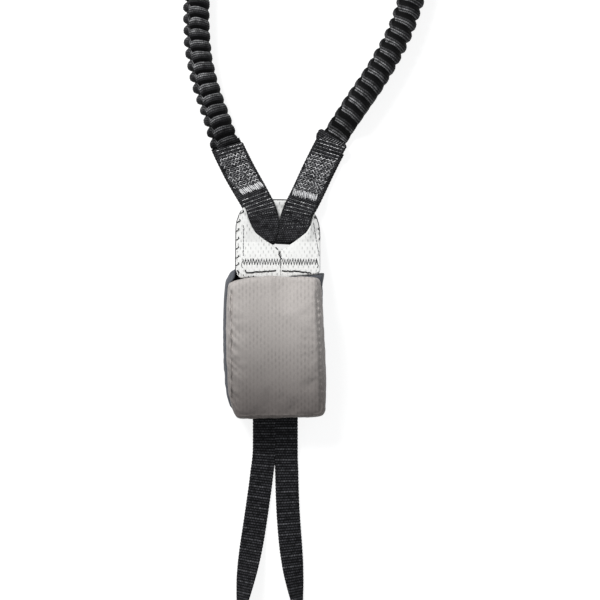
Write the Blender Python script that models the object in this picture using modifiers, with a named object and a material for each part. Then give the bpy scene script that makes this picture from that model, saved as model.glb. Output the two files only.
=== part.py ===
"""Via ferrata lanyard, laid out flat: two elastic arms with palm-lock carabiners, a tear absorber
in its pouch, the white eye that carries the arms, and the tie-in sling.

Metres, +Z up. The lanyard lies on z = 0, the arms run along +Y, and the origin is the middle of
the pouch's back face. A length along an arm is measured from the bight in the white eye.
"""

import math

import bmesh
import bpy
from mathutils import Matrix, Vector

# Clearances and overruns
seat_gap = 0.0003
floor_gap = 0.0002
cut_overrun = 0.004
weld_distance = 0.00001

# Arm webbing and its sewn loops
webbing_width = 0.0224
webbing_thickness = 0.0022
eye_loop_length = {"left": 0.0760, "right": 0.0860}
eye_loop_over_arch = 0.0370
eye_loop_drop = 0.0090
end_loop_length = 0.0560
end_loop_over_bar = 0.0040
end_loop_drop = 0.0150
end_ply_height = 0.0030
ply_cover = 0.0120
ply_short_end = 0.0060
ply_lead = 0.0030
ply_room = 0.0007

# Ruched sleeve and the elastic inside it
arm_length = 0.4400
sleeve_crest_radius = 0.0097
sleeve_valley_radius = 0.0078
rib_pitch = 0.0077
bore_radius = 0.0062
core_radius = 0.0056
core_dense_ribs = 5
pressed_end_thickness = 0.0018
pressed_end_opening = 0.0240
pressed_end_flare = 0.0012

# Rubber keeper at the carabiner
keeper_wall = 0.0014
keeper_gap = 0.0006
keeper_length = 0.0080
keeper_from_bar = 0.0210

# White eye
eye_center_x = 0.0020
eye_half_width = 0.0306
eye_spring_line_y = 0.0780
eye_arch_rise = 0.0285
eye_bottom_y = 0.0510
eye_corner = 0.0050
eye_thickness = 0.0036
eye_neck_half_width = 0.0200
eye_neck_end_y = 0.0395
eye_window_half_width = 0.0248
eye_window_top_y = 0.0865
eye_window_bottom_y = 0.0705
eye_window_corner = 0.0050
eye_level_until_y = 0.0850
eye_mouth_height = 0.0180
flap_thickness = 0.0020
flap_slit = 0.0006
neckline_center_x = 0.0042
neckline = [
    (0.0690, 0.0004), (0.0737, 0.0062), (0.0773, 0.0118), (0.0820, 0.0178), (0.0865, 0.0207), (0.0925, 0.0231),
    (0.0985, 0.0245),
]
flap_top_y = 0.0868
flap_rise_run = 0.0042

# Pouch
pouch_wall = 0.0014
pouch_split_height = 0.0140
front_left_x = -0.0358
front_right_x = 0.0363
front_top_y = 0.0500
front_bottom_y = -0.0522
front_foot_inset = 0.0060
front_foot_rise = 0.0220
front_height = 0.0380
front_crown = 0.0030
front_lean_share = 0.05
back_left_x = -0.0372
back_right_x = 0.0345
back_top_y = 0.0532
back_bottom_y = -0.0490
eye_mouth_half_width = 0.0225
eye_mouth_top = 0.0232
sling_mouth_half_width = 0.0180
sling_mouth_bottom = 0.0058

# Tear webbing
tear_width = 0.0400
tear_thickness = 0.0020
tear_room = 0.0006
tear_plies = 13
tear_top_y = 0.0390
tear_bottom_y = -0.0400

# Tie-in sling
sling_width = 0.0160
sling_thickness = 0.0022
sling_mouth_height = 0.0085

# Carabiner, in its own frame: x across, y along, z through it, from the middle of the webbing bar
frame_thickness = 0.0120
rod_radius = 0.0055
bar_radius = 0.0034
webbing_slot_half_width = 0.0120
webbing_slot_end_y = 0.0084
lug_nose = 0.0040
bar_root = 0.0015
basket_center_x = 0.0005
basket_center_y = 0.0840
basket_radius = 0.0295
nose_angle = math.radians(-3)
spine_x = -0.0130
spine_skin = 0.0003
spine_root_y = 0.0200
spine_bend_y = 0.0560
base_floor_y = 0.0104
base_top_y = 0.0330
base_left_x = -0.0290
base_right_x = 0.0340
base_edge = 0.0014
base_outline = [
    (0.0145, -0.0040), (0.0160, -0.0030), (0.0168, -0.0010), (0.0175, 0.0040), (0.0190, 0.0085), (0.0220, 0.0125),
    (0.0265, 0.0152), (0.0305, 0.0172), (0.0327, 0.0200), (0.0333, 0.0230), (0.0324, 0.0264), (0.0297, 0.0291),
    (0.0260, 0.0300), (0.0225, 0.0291), (0.0192, 0.0268), (0.0150, 0.0238), (0.0100, 0.0222), (0.0050, 0.0216),
    (0.0000, 0.0219), (-0.0040, 0.0233), (-0.0065, 0.0258), (-0.0078, 0.0290), (-0.0182, 0.0290), (-0.0192, 0.0240),
    (-0.0235, 0.0212), (-0.0263, 0.0180), (-0.0267, 0.0140), (-0.0252, 0.0108), (-0.0222, 0.0087), (-0.0192, 0.0064),
    (-0.0175, 0.0030), (-0.0168, -0.0010), (-0.0160, -0.0030), (-0.0145, -0.0040),
]
groove_width = 0.0060
groove_clearance = 0.0003

# Gate
gate_pivot_x = 0.0260
gate_pivot_y = 0.0230
gate_width = 0.0090
gate_thickness = 0.0100
gate_top_y = 0.0819
gate_top_x = 0.0302
gate_hub_radius = 0.0056
gate_heel_x = 0.0070
gate_heel_y = 0.0035
gate_shoulder_y = 0.0320
gate_edge = 0.0014
gate_swing = math.radians(33)
tongue_half_run = 0.0030
tongue_neck_half_width = 0.0015
tongue_head_half_width = 0.0031
tongue_head_height = 0.0030
tongue_depth = 0.0075
tongue_root = 0.0020
tongue_clearance = 0.0003
tongue_sweep = 0.0008
pin_radius = 0.0017
pin_clearance = 0.0003

# Palm lever
lever_pivot_x = -0.0200
lever_pivot_y = 0.0150
lever_press = math.radians(5.1)
lever_outline = [
    (-0.0242, 0.0150), (-0.0236, 0.0128), (-0.0222, 0.0114), (-0.0200, 0.0108), (-0.0170, 0.0111), (0.0205, 0.0144),
    (0.0205, 0.0192), (0.0120, 0.0192), (-0.0070, 0.0184), (-0.0160, 0.0184), (-0.0196, 0.0200), (-0.0212, 0.0290),
    (-0.0240, 0.0310), (-0.0258, 0.0290), (-0.0256, 0.0220),
]
paddle_bottom_y = 0.0255
paddle_top_y = 0.0665
paddle_depth = 0.0075
paddle_width = 0.0118
paddle_gap = 0.0012
paddle_edge = 0.0016

# Torsion springs round the two pins
spring_wire_radius = 0.0003
spring_coil_radius = 0.0026
spring_turns = 2
spring_seat_depth = 0.0023
spring_seat_radius = 0.0034

# Route of each arm on the floor, from the bight in the eye to the middle of the carabiner's bar
arm_routes = {
    "left": [
        (-0.0098, 0.0745), (-0.0082, 0.0888), (-0.0098, 0.0973), (-0.0155, 0.1090), (-0.0266, 0.1292),
        (-0.0366, 0.1505), (-0.0446, 0.1718), (-0.0514, 0.1931), (-0.0555, 0.2144), (-0.0566, 0.2357),
        (-0.0562, 0.2640), (-0.0542, 0.3000), (-0.0515, 0.3400), (-0.0488, 0.3800), (-0.0465, 0.4200),
        (-0.0450, 0.4550), (-0.0450, 0.4800), (-0.0450, 0.5100),
    ],
    "right": [
        (0.0142, 0.0745), (0.0150, 0.0888), (0.0175, 0.0973), (0.0227, 0.1079), (0.0325, 0.1292),
        (0.0437, 0.1505), (0.0575, 0.1718), (0.0720, 0.1931), (0.0845, 0.2144), (0.0940, 0.2357),
        (0.1020, 0.2640), (0.1062, 0.3000), (0.1055, 0.3400), (0.1020, 0.3800), (0.0975, 0.4200),
        (0.0950, 0.4500), (0.0950, 0.4700), (0.0950, 0.5000),
    ],
}

# Route of the tie-in sling, out of the pouch, round the far end and back in
sling_route = [
    (-0.0081, -0.0405), (-0.0081, -0.0520), (-0.0081, -0.0640), (-0.0084, -0.0780), (-0.0099, -0.0944),
    (-0.0128, -0.1157), (-0.0160, -0.1370), (-0.0196, -0.1583), (-0.0225, -0.1760), (-0.0246, -0.1930),
    (-0.0246, -0.2080), (-0.0208, -0.2220), (-0.0125, -0.2310), (-0.0025, -0.2335), (0.0075, -0.2300),
    (0.0145, -0.2205), (0.0175, -0.2070), (0.0170, -0.1920), (0.0150, -0.1760), (0.0128, -0.1583),
    (0.0107, -0.1370), (0.0092, -0.1157), (0.0085, -0.0944), (0.0085, -0.0780), (0.0085, -0.0640),
    (0.0085, -0.0520), (0.0085, -0.0405),
]
sling_flat_until_y = -0.1250
sling_on_edge_from_y = -0.2080
sling_down_by_y = -0.0800

# Worked out from the sizes above
ply_height = floor_gap + webbing_thickness / 2
ply_step = webbing_thickness + seat_gap
arch_height = ply_height + webbing_thickness / 2 + seat_gap + eye_thickness / 2
eye_bight_radius = arch_height - ply_height
carabiner_height = frame_thickness / 2
bar_bight_radius = bar_radius + seat_gap + webbing_thickness / 2
crest_height = floor_gap + sleeve_crest_radius
sleeve_end = arm_length - end_loop_length + ply_cover
nose_x = basket_center_x + basket_radius * math.cos(nose_angle)
nose_y = basket_center_y + basket_radius * math.sin(nose_angle)
gate_pivot = Vector((gate_pivot_x, gate_pivot_y, 0))
lever_pivot = Vector((lever_pivot_x, lever_pivot_y, 0))

tube_sides = 8
route_steps = 16

colours = {
    "black_webbing": ((0.012, 0.012, 0.013), 0.85, 0.0),
    "white_webbing": ((0.80, 0.80, 0.79), 0.80, 0.0),
    "grey_ripstop": ((0.36, 0.33, 0.31), 0.60, 0.0),
    "slate_fabric": ((0.065, 0.070, 0.085), 0.70, 0.0),
    "elastic_rubber": ((0.10, 0.09, 0.08), 0.70, 0.0),
    "keeper_rubber": ((0.015, 0.015, 0.015), 0.60, 0.0),
    "anodised_aluminium": ((0.10, 0.105, 0.115), 0.35, 1.0),
    "brushed_aluminium": ((0.62, 0.63, 0.65), 0.30, 1.0),
    "lever_plastic": ((0.36, 0.33, 0.31), 0.50, 0.0),
    "steel": ((0.55, 0.55, 0.57), 0.30, 1.0),
}


def smooth_step(value, start, end):
    """0 before start and 1 after end, with an easy change between them."""
    share = min(1.0, max(0.0, (value - start) / (end - start)))
    return share * share * (3 - 2 * share)


class Route:
    """A smooth line on the floor through points chosen by hand, read by the length along it."""

    def __init__(self, points):
        spots = [Vector((x, y, 0)) for x, y in points]
        ends = [2 * spots[0] - spots[1], *spots, 2 * spots[-1] - spots[-2]]
        self.line = []
        for a, b, c, d in zip(ends, ends[1:], ends[2:], ends[3:]):
            for step in range(route_steps):
                t = step / route_steps
                self.line.append(
                    b + (c - a) * (t / 2) + (a - b * 2.5 + c * 2 - d / 2) * t**2 + (b * 1.5 - c * 1.5 + d / 2 - a / 2) * t**3
                )
        self.line.append(spots[-1])
        self.reach = [0.0]
        for before, after in zip(self.line, self.line[1:]):
            self.reach.append(self.reach[-1] + (after - before).length)
        self.length = self.reach[-1]

    def at(self, distance):
        """The point and the direction at a length along the line, which runs on straight past its ends."""
        index = 0
        while index < len(self.line) - 2 and self.reach[index + 1] < distance:
            index += 1
        step = self.line[index + 1] - self.line[index]
        share = (distance - self.reach[index]) / step.length
        before = self.line[max(index - 1, 0)]
        after = self.line[min(index + 2, len(self.line) - 1)]
        return self.line[index] + step * share, (after - before).normalized()


def start_scene():
    for obj in list(bpy.data.objects):
        bpy.data.objects.remove(obj, do_unlink=True)
    for name in ("via_ferrata_lanyard", "cutters"):
        collection = bpy.data.collections.new(name)
        bpy.context.scene.collection.children.link(collection)
    for name, (colour, roughness, metallic) in colours.items():
        material = bpy.data.materials.new(name)
        material.use_nodes = True
        shader = material.node_tree.nodes["Principled BSDF"]
        shader.inputs["Base Color"].default_value = (*colour, 1.0)
        shader.inputs["Roughness"].default_value = roughness
        shader.inputs["Metallic"].default_value = metallic
        material.diffuse_color = (*colour, 1.0)


def place(obj, material=None):
    """Puts an object in the model with its material, or with the cutters where it has none."""
    if material:
        bpy.data.collections["via_ferrata_lanyard"].objects.link(obj)
        obj.data.materials.clear()
        obj.data.materials.append(bpy.data.materials[material])
    else:
        bpy.data.collections["cutters"].objects.link(obj)
        obj.hide_render = True
        obj.display_type = "WIRE"
    return obj


def object_from(name, bm, material=None):
    mesh = bpy.data.meshes.new(name)
    bmesh.ops.recalc_face_normals(bm, faces=bm.faces)
    bm.to_mesh(mesh)
    bm.free()
    return place(bpy.data.objects.new(name, mesh), material)


def box(name, low, high, material=None):
    bm = bmesh.new()
    bmesh.ops.create_cube(bm, size=1)
    low, high = Vector(low), Vector(high)
    bmesh.ops.scale(bm, vec=high - low, verts=bm.verts)
    bmesh.ops.translate(bm, vec=(low + high) / 2, verts=bm.verts)
    return object_from(name, bm, material)


def cylinder(name, center, radius, length, axis="Z", sides=24, material=None):
    bm = bmesh.new()
    bmesh.ops.create_cone(bm, cap_ends=True, segments=sides, radius1=radius, radius2=radius, depth=length)
    if axis == "X":
        bmesh.ops.rotate(bm, matrix=Matrix.Rotation(math.radians(90), 3, "Y"), verts=bm.verts)
    bmesh.ops.translate(bm, vec=Vector(center), verts=bm.verts)
    return object_from(name, bm, material)


def curve_object(name, points, radii=None, closed=False):
    """A curve of one straight-run spline, with no thickness yet."""
    curve = bpy.data.curves.new(name, "CURVE")
    curve.dimensions = "3D"
    curve.twist_mode = "Z_UP"
    curve.use_fill_caps = True
    spline = curve.splines.new("POLY")
    spline.points.add(len(points) - 1)
    spline.use_cyclic_u = closed
    for index, point in enumerate(points):
        spline.points[index].co = (*point, 1.0)
        spline.points[index].radius = radii[index] if radii else 1.0
    return bpy.data.objects.new(name, curve)


def outline_object(name, points, thickness, holes=()):
    """A flat plate of that thickness, its outline and its holes in the XY plane."""
    curve = bpy.data.curves.new(name, "CURVE")
    curve.dimensions = "2D"
    curve.fill_mode = "BOTH"
    curve.extrude = thickness / 2
    for loop in (points, *holes):
        spline = curve.splines.new("POLY")
        spline.points.add(len(loop) - 1)
        spline.use_cyclic_u = True
        for index, (x, y) in enumerate(loop):
            spline.points[index].co = (x, y, 0.0, 1.0)
    return bpy.data.objects.new(name, curve)


def finished_mesh(obj):
    """The object's shape with its modifiers applied and its loose caps welded, as a mesh of its own."""
    scene = bpy.context.scene.collection
    linked = obj.name in bpy.context.view_layer.objects
    if not linked:
        scene.objects.link(obj)
    bpy.context.view_layer.update()
    graph = bpy.context.evaluated_depsgraph_get()
    mesh = bpy.data.meshes.new_from_object(obj.evaluated_get(graph))
    if not linked:
        scene.objects.unlink(obj)
    bm = bmesh.new()
    bm.from_mesh(mesh)
    bmesh.ops.remove_doubles(bm, verts=bm.verts, dist=weld_distance)
    bmesh.ops.recalc_face_normals(bm, faces=bm.faces)
    bm.to_mesh(mesh)
    bm.free()
    return mesh


def mesh_object(name, source, material=None):
    """A mesh object with the finished shape of a curve or of an object with modifiers, which is removed."""
    mesh = finished_mesh(source)
    bpy.data.objects.remove(source)
    obj = bpy.data.objects.new(name, mesh)
    return place(obj, material)


def boolean(obj, other, operation="DIFFERENCE"):
    modifier = obj.modifiers.new(operation.title(), "BOOLEAN")
    modifier.operation = operation
    modifier.object = other
    modifier.solver = "EXACT"


def bevel(obj, width, segments=1):
    modifier = obj.modifiers.new("Bevel", "BEVEL")
    modifier.width = width
    modifier.segments = segments
    modifier.limit_method = "ANGLE"
    modifier.angle_limit = math.radians(50)


def settle(obj):
    """Applies an object's modifiers, so that its points can be moved or a curve's mesh cut."""
    mesh = finished_mesh(obj)
    mesh.materials.clear()
    for material in obj.data.materials:
        mesh.materials.append(material)
    obj.modifiers.clear()
    obj.data = mesh


def round_off(obj):
    obj.data.shade_smooth()
    obj.data.set_sharp_from_angle(angle=math.radians(40))


def bend_along(obj, route, roll=None, height=None):
    """Moves points from (along, across, up) to the route, rolled about its line where a roll is given."""
    for vertex in obj.data.vertices:
        along, across, up = vertex.co
        point, ahead = route.at(along)
        side = Vector((-ahead.y, ahead.x, 0)).normalized()
        if roll:
            turn = roll(point)
            across, up = (
                across * math.cos(turn) - up * math.sin(turn),
                across * math.sin(turn) + up * math.cos(turn),
            )
            up += height(point)
        vertex.co = point + side * across + Vector((0, 0, up))
    obj.data.update()


# Arms

def pressed_height(along, end, low, up):
    """Where a height of the round sleeve goes where its end is pressed flat between two plies."""
    flat_from = end + ply_cover
    round_from = flat_from + pressed_end_opening
    roundness = smooth_step(along, flat_from, round_from)
    opening = smooth_step(along, (flat_from + round_from) / 2, round_from)
    floor = low + (floor_gap - low) * opening
    thickness = pressed_end_thickness + (2 * sleeve_crest_radius - pressed_end_thickness) * roundness
    return floor + (up - floor_gap) / (2 * sleeve_crest_radius) * thickness


def sleeve_run(side):
    """Where an arm's sleeve starts, how many ribs it has and half of their pitch."""
    start = eye_loop_length[side] - ply_cover
    ribs = round((sleeve_end - start) / rib_pitch)
    return start, ribs, (sleeve_end - start) / (2 * ribs)


def sleeve_height(sleeve_start, along, up):
    """The height of a point of the sleeve, which is pressed flat at both ends."""
    middle = (sleeve_start + sleeve_end) / 2
    if along < middle:
        low = ply_height + webbing_thickness / 2 + seat_gap
        return pressed_height(along, sleeve_start, low, up)
    low = end_ply_height + webbing_thickness / 2 + seat_gap
    return pressed_height(-along, -sleeve_end, low, up)


def press_ends(obj, sleeve_start):
    for vertex in obj.data.vertices:
        along, across, up = vertex.co
        from_end = min(along - sleeve_start, sleeve_end - along)
        flare = pressed_end_flare * (1 - smooth_step(from_end, ply_cover, 2 * pressed_end_opening))
        vertex.co.y = across * (1 + flare / sleeve_crest_radius)
        vertex.co.z = sleeve_height(sleeve_start, along, up)


def rod_along_arm(name, stations, radii):
    """A straight rod at the sleeve's height, with one ring for each station and radius."""
    obj = curve_object(name, [(along, 0, crest_height) for along in stations], radii)
    obj.data.bevel_depth = 1.0
    obj.data.bevel_resolution = tube_sides // 2 - 2
    return obj


def arm_sleeve(side, route):
    """The ruched webbing tube: a crest and a valley to each rib, with its bore cut out."""
    sleeve_start, ribs, half_rib = sleeve_run(side)
    stations = [sleeve_start + half_rib * index for index in range(2 * ribs + 1)]
    radii = [sleeve_valley_radius, *[sleeve_crest_radius, sleeve_valley_radius] * ribs]
    sleeve = mesh_object(f"arm_sleeve_{side}", rod_along_arm("sleeve", stations, radii), "black_webbing")
    inner = [sleeve_start + half_rib * step for step in (-1, 0, 1)]
    inner += core_stations(side)
    inner += [sleeve_end + half_rib * step for step in (-1, 0, 1)]
    bore = mesh_object(f"bore_{side}", rod_along_arm("bore", inner, [bore_radius] * len(inner)))
    boolean(sleeve, bore)
    settle(sleeve)
    press_ends(sleeve, sleeve_start)
    bend_along(sleeve, route)
    round_off(sleeve)
    return sleeve


def core_stations(side):
    """Where the core has its rings: close together at its pressed ends, and further apart between."""
    sleeve_start, ribs, half_rib = sleeve_run(side)
    dense = 2 * core_dense_ribs
    last = 2 * ribs - 2
    steps = [2 + index for index in range(dense)]
    steps += list(range(2 + dense, last - dense, 4))
    steps += [last - dense + index for index in range(dense + 1)]
    return [sleeve_start + half_rib * step for step in steps]


def elastic_core(side, route):
    """The rubber cord inside the sleeve, pressed flat with it at the ends."""
    stations = core_stations(side)
    rod = rod_along_arm("core", stations, [core_radius] * len(stations))
    core = mesh_object(f"elastic_core_{side}", rod, "elastic_rubber")
    press_ends(core, stations[0] - 2 * sleeve_run(side)[2])
    bend_along(core, route)
    round_off(core)
    return core


def bight(center, height, radius, steps=6):
    """The half turn of a strap that goes round something, from its lower ply to its upper one."""
    turns = [math.radians(-90) - math.radians(180) * step / steps for step in range(steps + 1)]
    return [(center + radius * math.cos(turn), height + radius * math.sin(turn)) for turn in turns]


def loop_profile(length, bight_height, bight_radius, low_height, high_run, drop, sleeve_at):
    """A sewn loop seen from its side, as lengths from its bight and heights."""
    upper = low_height + ply_step
    high = bight_height + bight_radius
    low_end = length - ply_short_end
    points = [(low_end, low_height)]
    points += [(bight_radius + drop, low_height)]
    points += bight(bight_radius, bight_height, bight_radius)
    points += [(high_run, high)]
    for share in (0.25, 0.5, 0.75, 1.0):
        along = high_run + drop * share
        points.append((along, high + (upper - high) * smooth_step(share, 0, 1)))
    points.append((sleeve_at - ply_lead, upper))
    for share in (0.0, 0.25, 0.5, 0.75, 1.0):
        along = sleeve_at + (length - sleeve_at) * share
        crest = pressed_height(along, sleeve_at, low_height + webbing_thickness / 2 + seat_gap,
                               floor_gap + 2 * sleeve_crest_radius)
        points.append((along, crest + ply_room + webbing_thickness / 2))
    return points


def strap(name, profile, width, thickness, material):
    """A strap of that width along a profile of lengths and heights."""
    obj = curve_object(name, [(along, height, 0) for along, height in profile])
    obj.data.bevel_depth = thickness / 2
    obj.data.bevel_resolution = 0
    obj.data.extrude = (width - thickness) / 2
    made = mesh_object(name, obj, material)
    made.data.transform(Matrix.Rotation(math.radians(90), 4, "X"))
    return made


def eye_loop(side, route):
    """The doubled and sewn webbing that hangs each arm on the arch of the eye."""
    profile = loop_profile(eye_loop_length[side], arch_height, eye_bight_radius, ply_height, eye_loop_over_arch,
                           eye_loop_drop, sleeve_run(side)[0])
    loop = strap(f"eye_loop_{side}", profile, webbing_width, webbing_thickness, "black_webbing")
    bend_along(loop, route)
    round_off(loop)
    return loop


def end_loop(side, route):
    """The doubled and sewn webbing at the far end of each arm, round the carabiner's bar."""
    bar_reach = bar_bight_radius
    profile = loop_profile(end_loop_length + bar_reach, carabiner_height, bar_bight_radius, end_ply_height,
                           end_loop_over_bar + bar_reach, end_loop_drop,
                           end_loop_length + bar_reach - ply_cover)
    loop = strap(f"carabiner_loop_{side}", profile, webbing_width, webbing_thickness, "black_webbing")
    for vertex in loop.data.vertices:
        vertex.co.x = arm_length + bar_reach - vertex.co.x
    loop.data.flip_normals()
    bend_along(loop, route)
    round_off(loop)
    return loop


def keeper(side, route):
    """The rubber ring that keeps the carabiner at the end of its loop."""
    half_hole = webbing_width / 2 + keeper_gap
    low = end_ply_height - webbing_thickness / 2 - seat_gap
    high = end_ply_height + ply_step + webbing_thickness / 2 + seat_gap
    start = arm_length - keeper_from_bar - keeper_length
    end = arm_length - keeper_from_bar
    wall = Vector((0, keeper_wall, keeper_wall))
    ring = box(f"keeper_{side}", Vector((start, -half_hole, low)) - wall, Vector((end, half_hole, high)) + wall,
               "keeper_rubber")
    hole = box(f"keeper_hole_{side}", (start - cut_overrun, -half_hole, low), (end + cut_overrun, half_hole, high))
    bevel(ring, keeper_wall / 2)
    boolean(ring, hole)
    settle(ring)
    bend_along(ring, route)
    return ring


# White eye

def eye_height(y):
    """The height of the eye's middle: level between the arms' plies, then up to the pouch's mouth."""
    climb = smooth_step(eye_level_until_y - y, 0, eye_level_until_y - eye_bottom_y)
    return arch_height + (eye_mouth_height - arch_height) * climb


def corner_arc(center_x, center_y, radius_x, radius_y, start, end, steps):
    turns = [start + (end - start) * step / steps for step in range(steps + 1)]
    return [
        (center_x + radius_x * math.cos(math.radians(turn)), center_y + radius_y * math.sin(math.radians(turn)))
        for turn in turns
    ]


def eye_outline():
    left, right = eye_center_x - eye_half_width, eye_center_x + eye_half_width
    low = eye_bottom_y + eye_corner
    points = corner_arc(eye_center_x, eye_spring_line_y, eye_half_width, eye_arch_rise, 0, 180, 20)
    points += corner_arc(left + eye_corner, low, eye_corner, eye_corner, 180, 270, 3)
    points += [(eye_center_x - eye_neck_half_width, eye_bottom_y), (eye_center_x - eye_neck_half_width, eye_neck_end_y)]
    points += [(eye_center_x + eye_neck_half_width, eye_neck_end_y), (eye_center_x + eye_neck_half_width, eye_bottom_y)]
    points += corner_arc(right - eye_corner, low, eye_corner, eye_corner, 270, 360, 3)
    return points


def eye_window():
    left, right = eye_center_x - eye_window_half_width, eye_center_x + eye_window_half_width
    corner = eye_window_corner
    points = []
    for x, y, start in (
        (right - corner, eye_window_top_y - corner, 0),
        (left + corner, eye_window_top_y - corner, 90),
        (left + corner, eye_window_bottom_y + corner, 180),
        (right - corner, eye_window_bottom_y + corner, 270),
    ):
        points += corner_arc(x, y, corner, corner, start, start + 90, 3)
    return points


def eye_back():
    """The doubled white webbing: an arch that the arms hang on, a window below it and a neck into the pouch."""
    eye = mesh_object("eye_back", outline_object("eye", eye_outline(), eye_thickness, [eye_window()]), "white_webbing")
    bm = bmesh.new()
    bm.from_mesh(eye.data)
    stations = 9
    for index in range(stations):
        y = eye_bottom_y + (eye_level_until_y - eye_bottom_y) * index / (stations - 1)
        bmesh.ops.bisect_plane(bm, geom=bm.verts[:] + bm.edges[:] + bm.faces[:], plane_co=(0, y, 0), plane_no=(0, 1, 0))
    bmesh.ops.triangulate(bm, faces=bm.faces[:])
    bm.to_mesh(eye.data)
    bm.free()
    for vertex in eye.data.vertices:
        vertex.co.z += eye_height(vertex.co.y)
    return eye


def neckline_x(y):
    """How far the neckline is from its middle at a height."""
    for (low_y, low_x), (high_y, high_x) in zip(neckline, neckline[1:]):
        if y <= high_y:
            return low_x + (high_x - low_x) * max(0.0, (y - low_y) / (high_y - low_y))
    return neckline[-1][1]


def eye_edge_x(y):
    """How far the eye's outer edge is from its middle at a height."""
    if y < eye_bottom_y + eye_corner:
        rise = (eye_bottom_y + eye_corner - y) / eye_corner
        return eye_half_width - eye_corner + eye_corner * math.sqrt(max(0.0, 1 - rise * rise))
    rise = max(0.0, (y - eye_spring_line_y) / eye_arch_rise)
    return eye_half_width * math.sqrt(max(0.0, 1 - rise * rise))


def flap_height(y, from_edge):
    """The flap's middle: on the eye at its outer edge, and over the arms' loops inside it."""
    on_eye = eye_height(y) + eye_thickness / 2
    over_loops = arch_height + eye_bight_radius + webbing_thickness / 2
    lifted = max(on_eye, over_loops)
    base = on_eye + (lifted - on_eye) * smooth_step(from_edge, 0, flap_rise_run)
    return base + seat_gap + flap_thickness / 2


def eye_front(side, direction):
    """One of the two flaps in front of the arms' loops, from the outer edge to the neckline or the slit."""
    rows, columns = 14, 5
    top_y = flap_top_y
    bm = bmesh.new()
    grid = []
    for row in range(rows + 1):
        y = eye_bottom_y + (top_y - eye_bottom_y) * row / rows
        outer = eye_center_x + direction * eye_edge_x(y)
        inner = neckline_center_x + direction * (flap_slit / 2 + (neckline_x(y) if y > neckline[0][0] else 0.0))
        line = []
        for column in range(columns + 1):
            x = outer + (inner - outer) * column / columns
            line.append(bm.verts.new((x, y, flap_height(y, abs(x - outer)))))
        grid.append(line)
    for lower, upper in zip(grid, grid[1:]):
        for index in range(columns):
            bm.faces.new((lower[index], lower[index + 1], upper[index + 1], upper[index]))
    flap = object_from(f"eye_front_{side}", bm, "white_webbing")
    solidify = flap.modifiers.new("Solidify", "SOLIDIFY")
    solidify.thickness = flap_thickness
    solidify.offset = 0
    round_off(flap)
    return flap


# Pouch

def pillow_shell(name, low, high, open_top, crown, lean_share, material):
    """Half of the pouch: a soft box without one face, its corners rounded by subdivision."""
    bm = bmesh.new()
    bmesh.ops.create_cube(bm, size=1)
    bmesh.ops.subdivide_edges(bm, edges=bm.edges[:], cuts=3, use_grid_fill=True)
    bm.normal_update()
    open_side = 1 if open_top else -1
    lid = [face for face in bm.faces if face.normal.z * open_side > 0.9]
    bmesh.ops.delete(bm, geom=lid, context="FACES")
    size = Vector(high) - Vector(low)
    center = (Vector(high) + Vector(low)) / 2
    for vertex in bm.verts:
        x, y, z = vertex.co * 2
        closed_share = (1 - z * open_side) / 2
        swell = 1 - lean_share * closed_share**2
        vertex.co.x = center.x + x * size.x / 2 * swell
        vertex.co.y = center.y + y * size.y / 2 * swell
        lift = crown * (1 - x * x) * (1 - y * y) * closed_share
        vertex.co.z = center.z + z * size.z / 2 - open_side * lift
    shell = object_from(name, bm, material)
    subdivision = shell.modifiers.new("Subdivision", "SUBSURF")
    subdivision.levels = subdivision.render_levels = 1
    subdivision.use_limit_surface = False
    solidify = shell.modifiers.new("Solidify", "SOLIDIFY")
    solidify.thickness = pouch_wall
    solidify.offset = -1
    solidify.use_even_offset = True
    round_off(shell)
    return shell


def draw_in_foot(shell, left_x, bottom_y, inset):
    """Draws in the shell's left side towards its bottom corner."""
    for vertex in shell.data.vertices:
        low_share = smooth_step(bottom_y + front_foot_rise - vertex.co.y, 0, front_foot_rise)
        left_share = max(0.0, vertex.co.x / left_x)
        vertex.co.x += inset * low_share * left_share


def pouch_front():
    """The light ripstop cover: the front and the sides, with a notch at the top for the eye's neck."""
    low = (front_left_x, front_bottom_y, pouch_split_height + seat_gap)
    high = (front_right_x, front_top_y, front_height - front_crown)
    shell = pillow_shell("pouch_front", low, high, False, front_crown, front_lean_share, "grey_ripstop")
    draw_in_foot(shell, front_left_x, front_bottom_y, front_foot_inset)
    mouth = box(
        "eye_mouth",
        (eye_center_x - eye_mouth_half_width, front_top_y - 2 * cut_overrun, pouch_split_height - cut_overrun),
        (eye_center_x + eye_mouth_half_width, front_top_y + cut_overrun, eye_mouth_top),
    )
    boolean(shell, mouth)
    return shell


def pouch_back():
    """The dark back, flat where the lanyard lies on it, with a notch at the bottom for the sling."""
    low = (back_left_x, back_bottom_y, 0)
    high = (back_right_x, back_top_y, pouch_split_height)
    shell = pillow_shell("pouch_back", low, high, True, 0, front_lean_share, "slate_fabric")
    draw_in_foot(shell, back_left_x, back_bottom_y, front_foot_inset)
    mouth = box(
        "sling_mouth",
        (-sling_mouth_half_width, back_bottom_y - cut_overrun, sling_mouth_bottom),
        (sling_mouth_half_width, back_bottom_y + 2 * cut_overrun, pouch_split_height + cut_overrun),
    )
    boolean(shell, mouth)
    return shell


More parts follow.
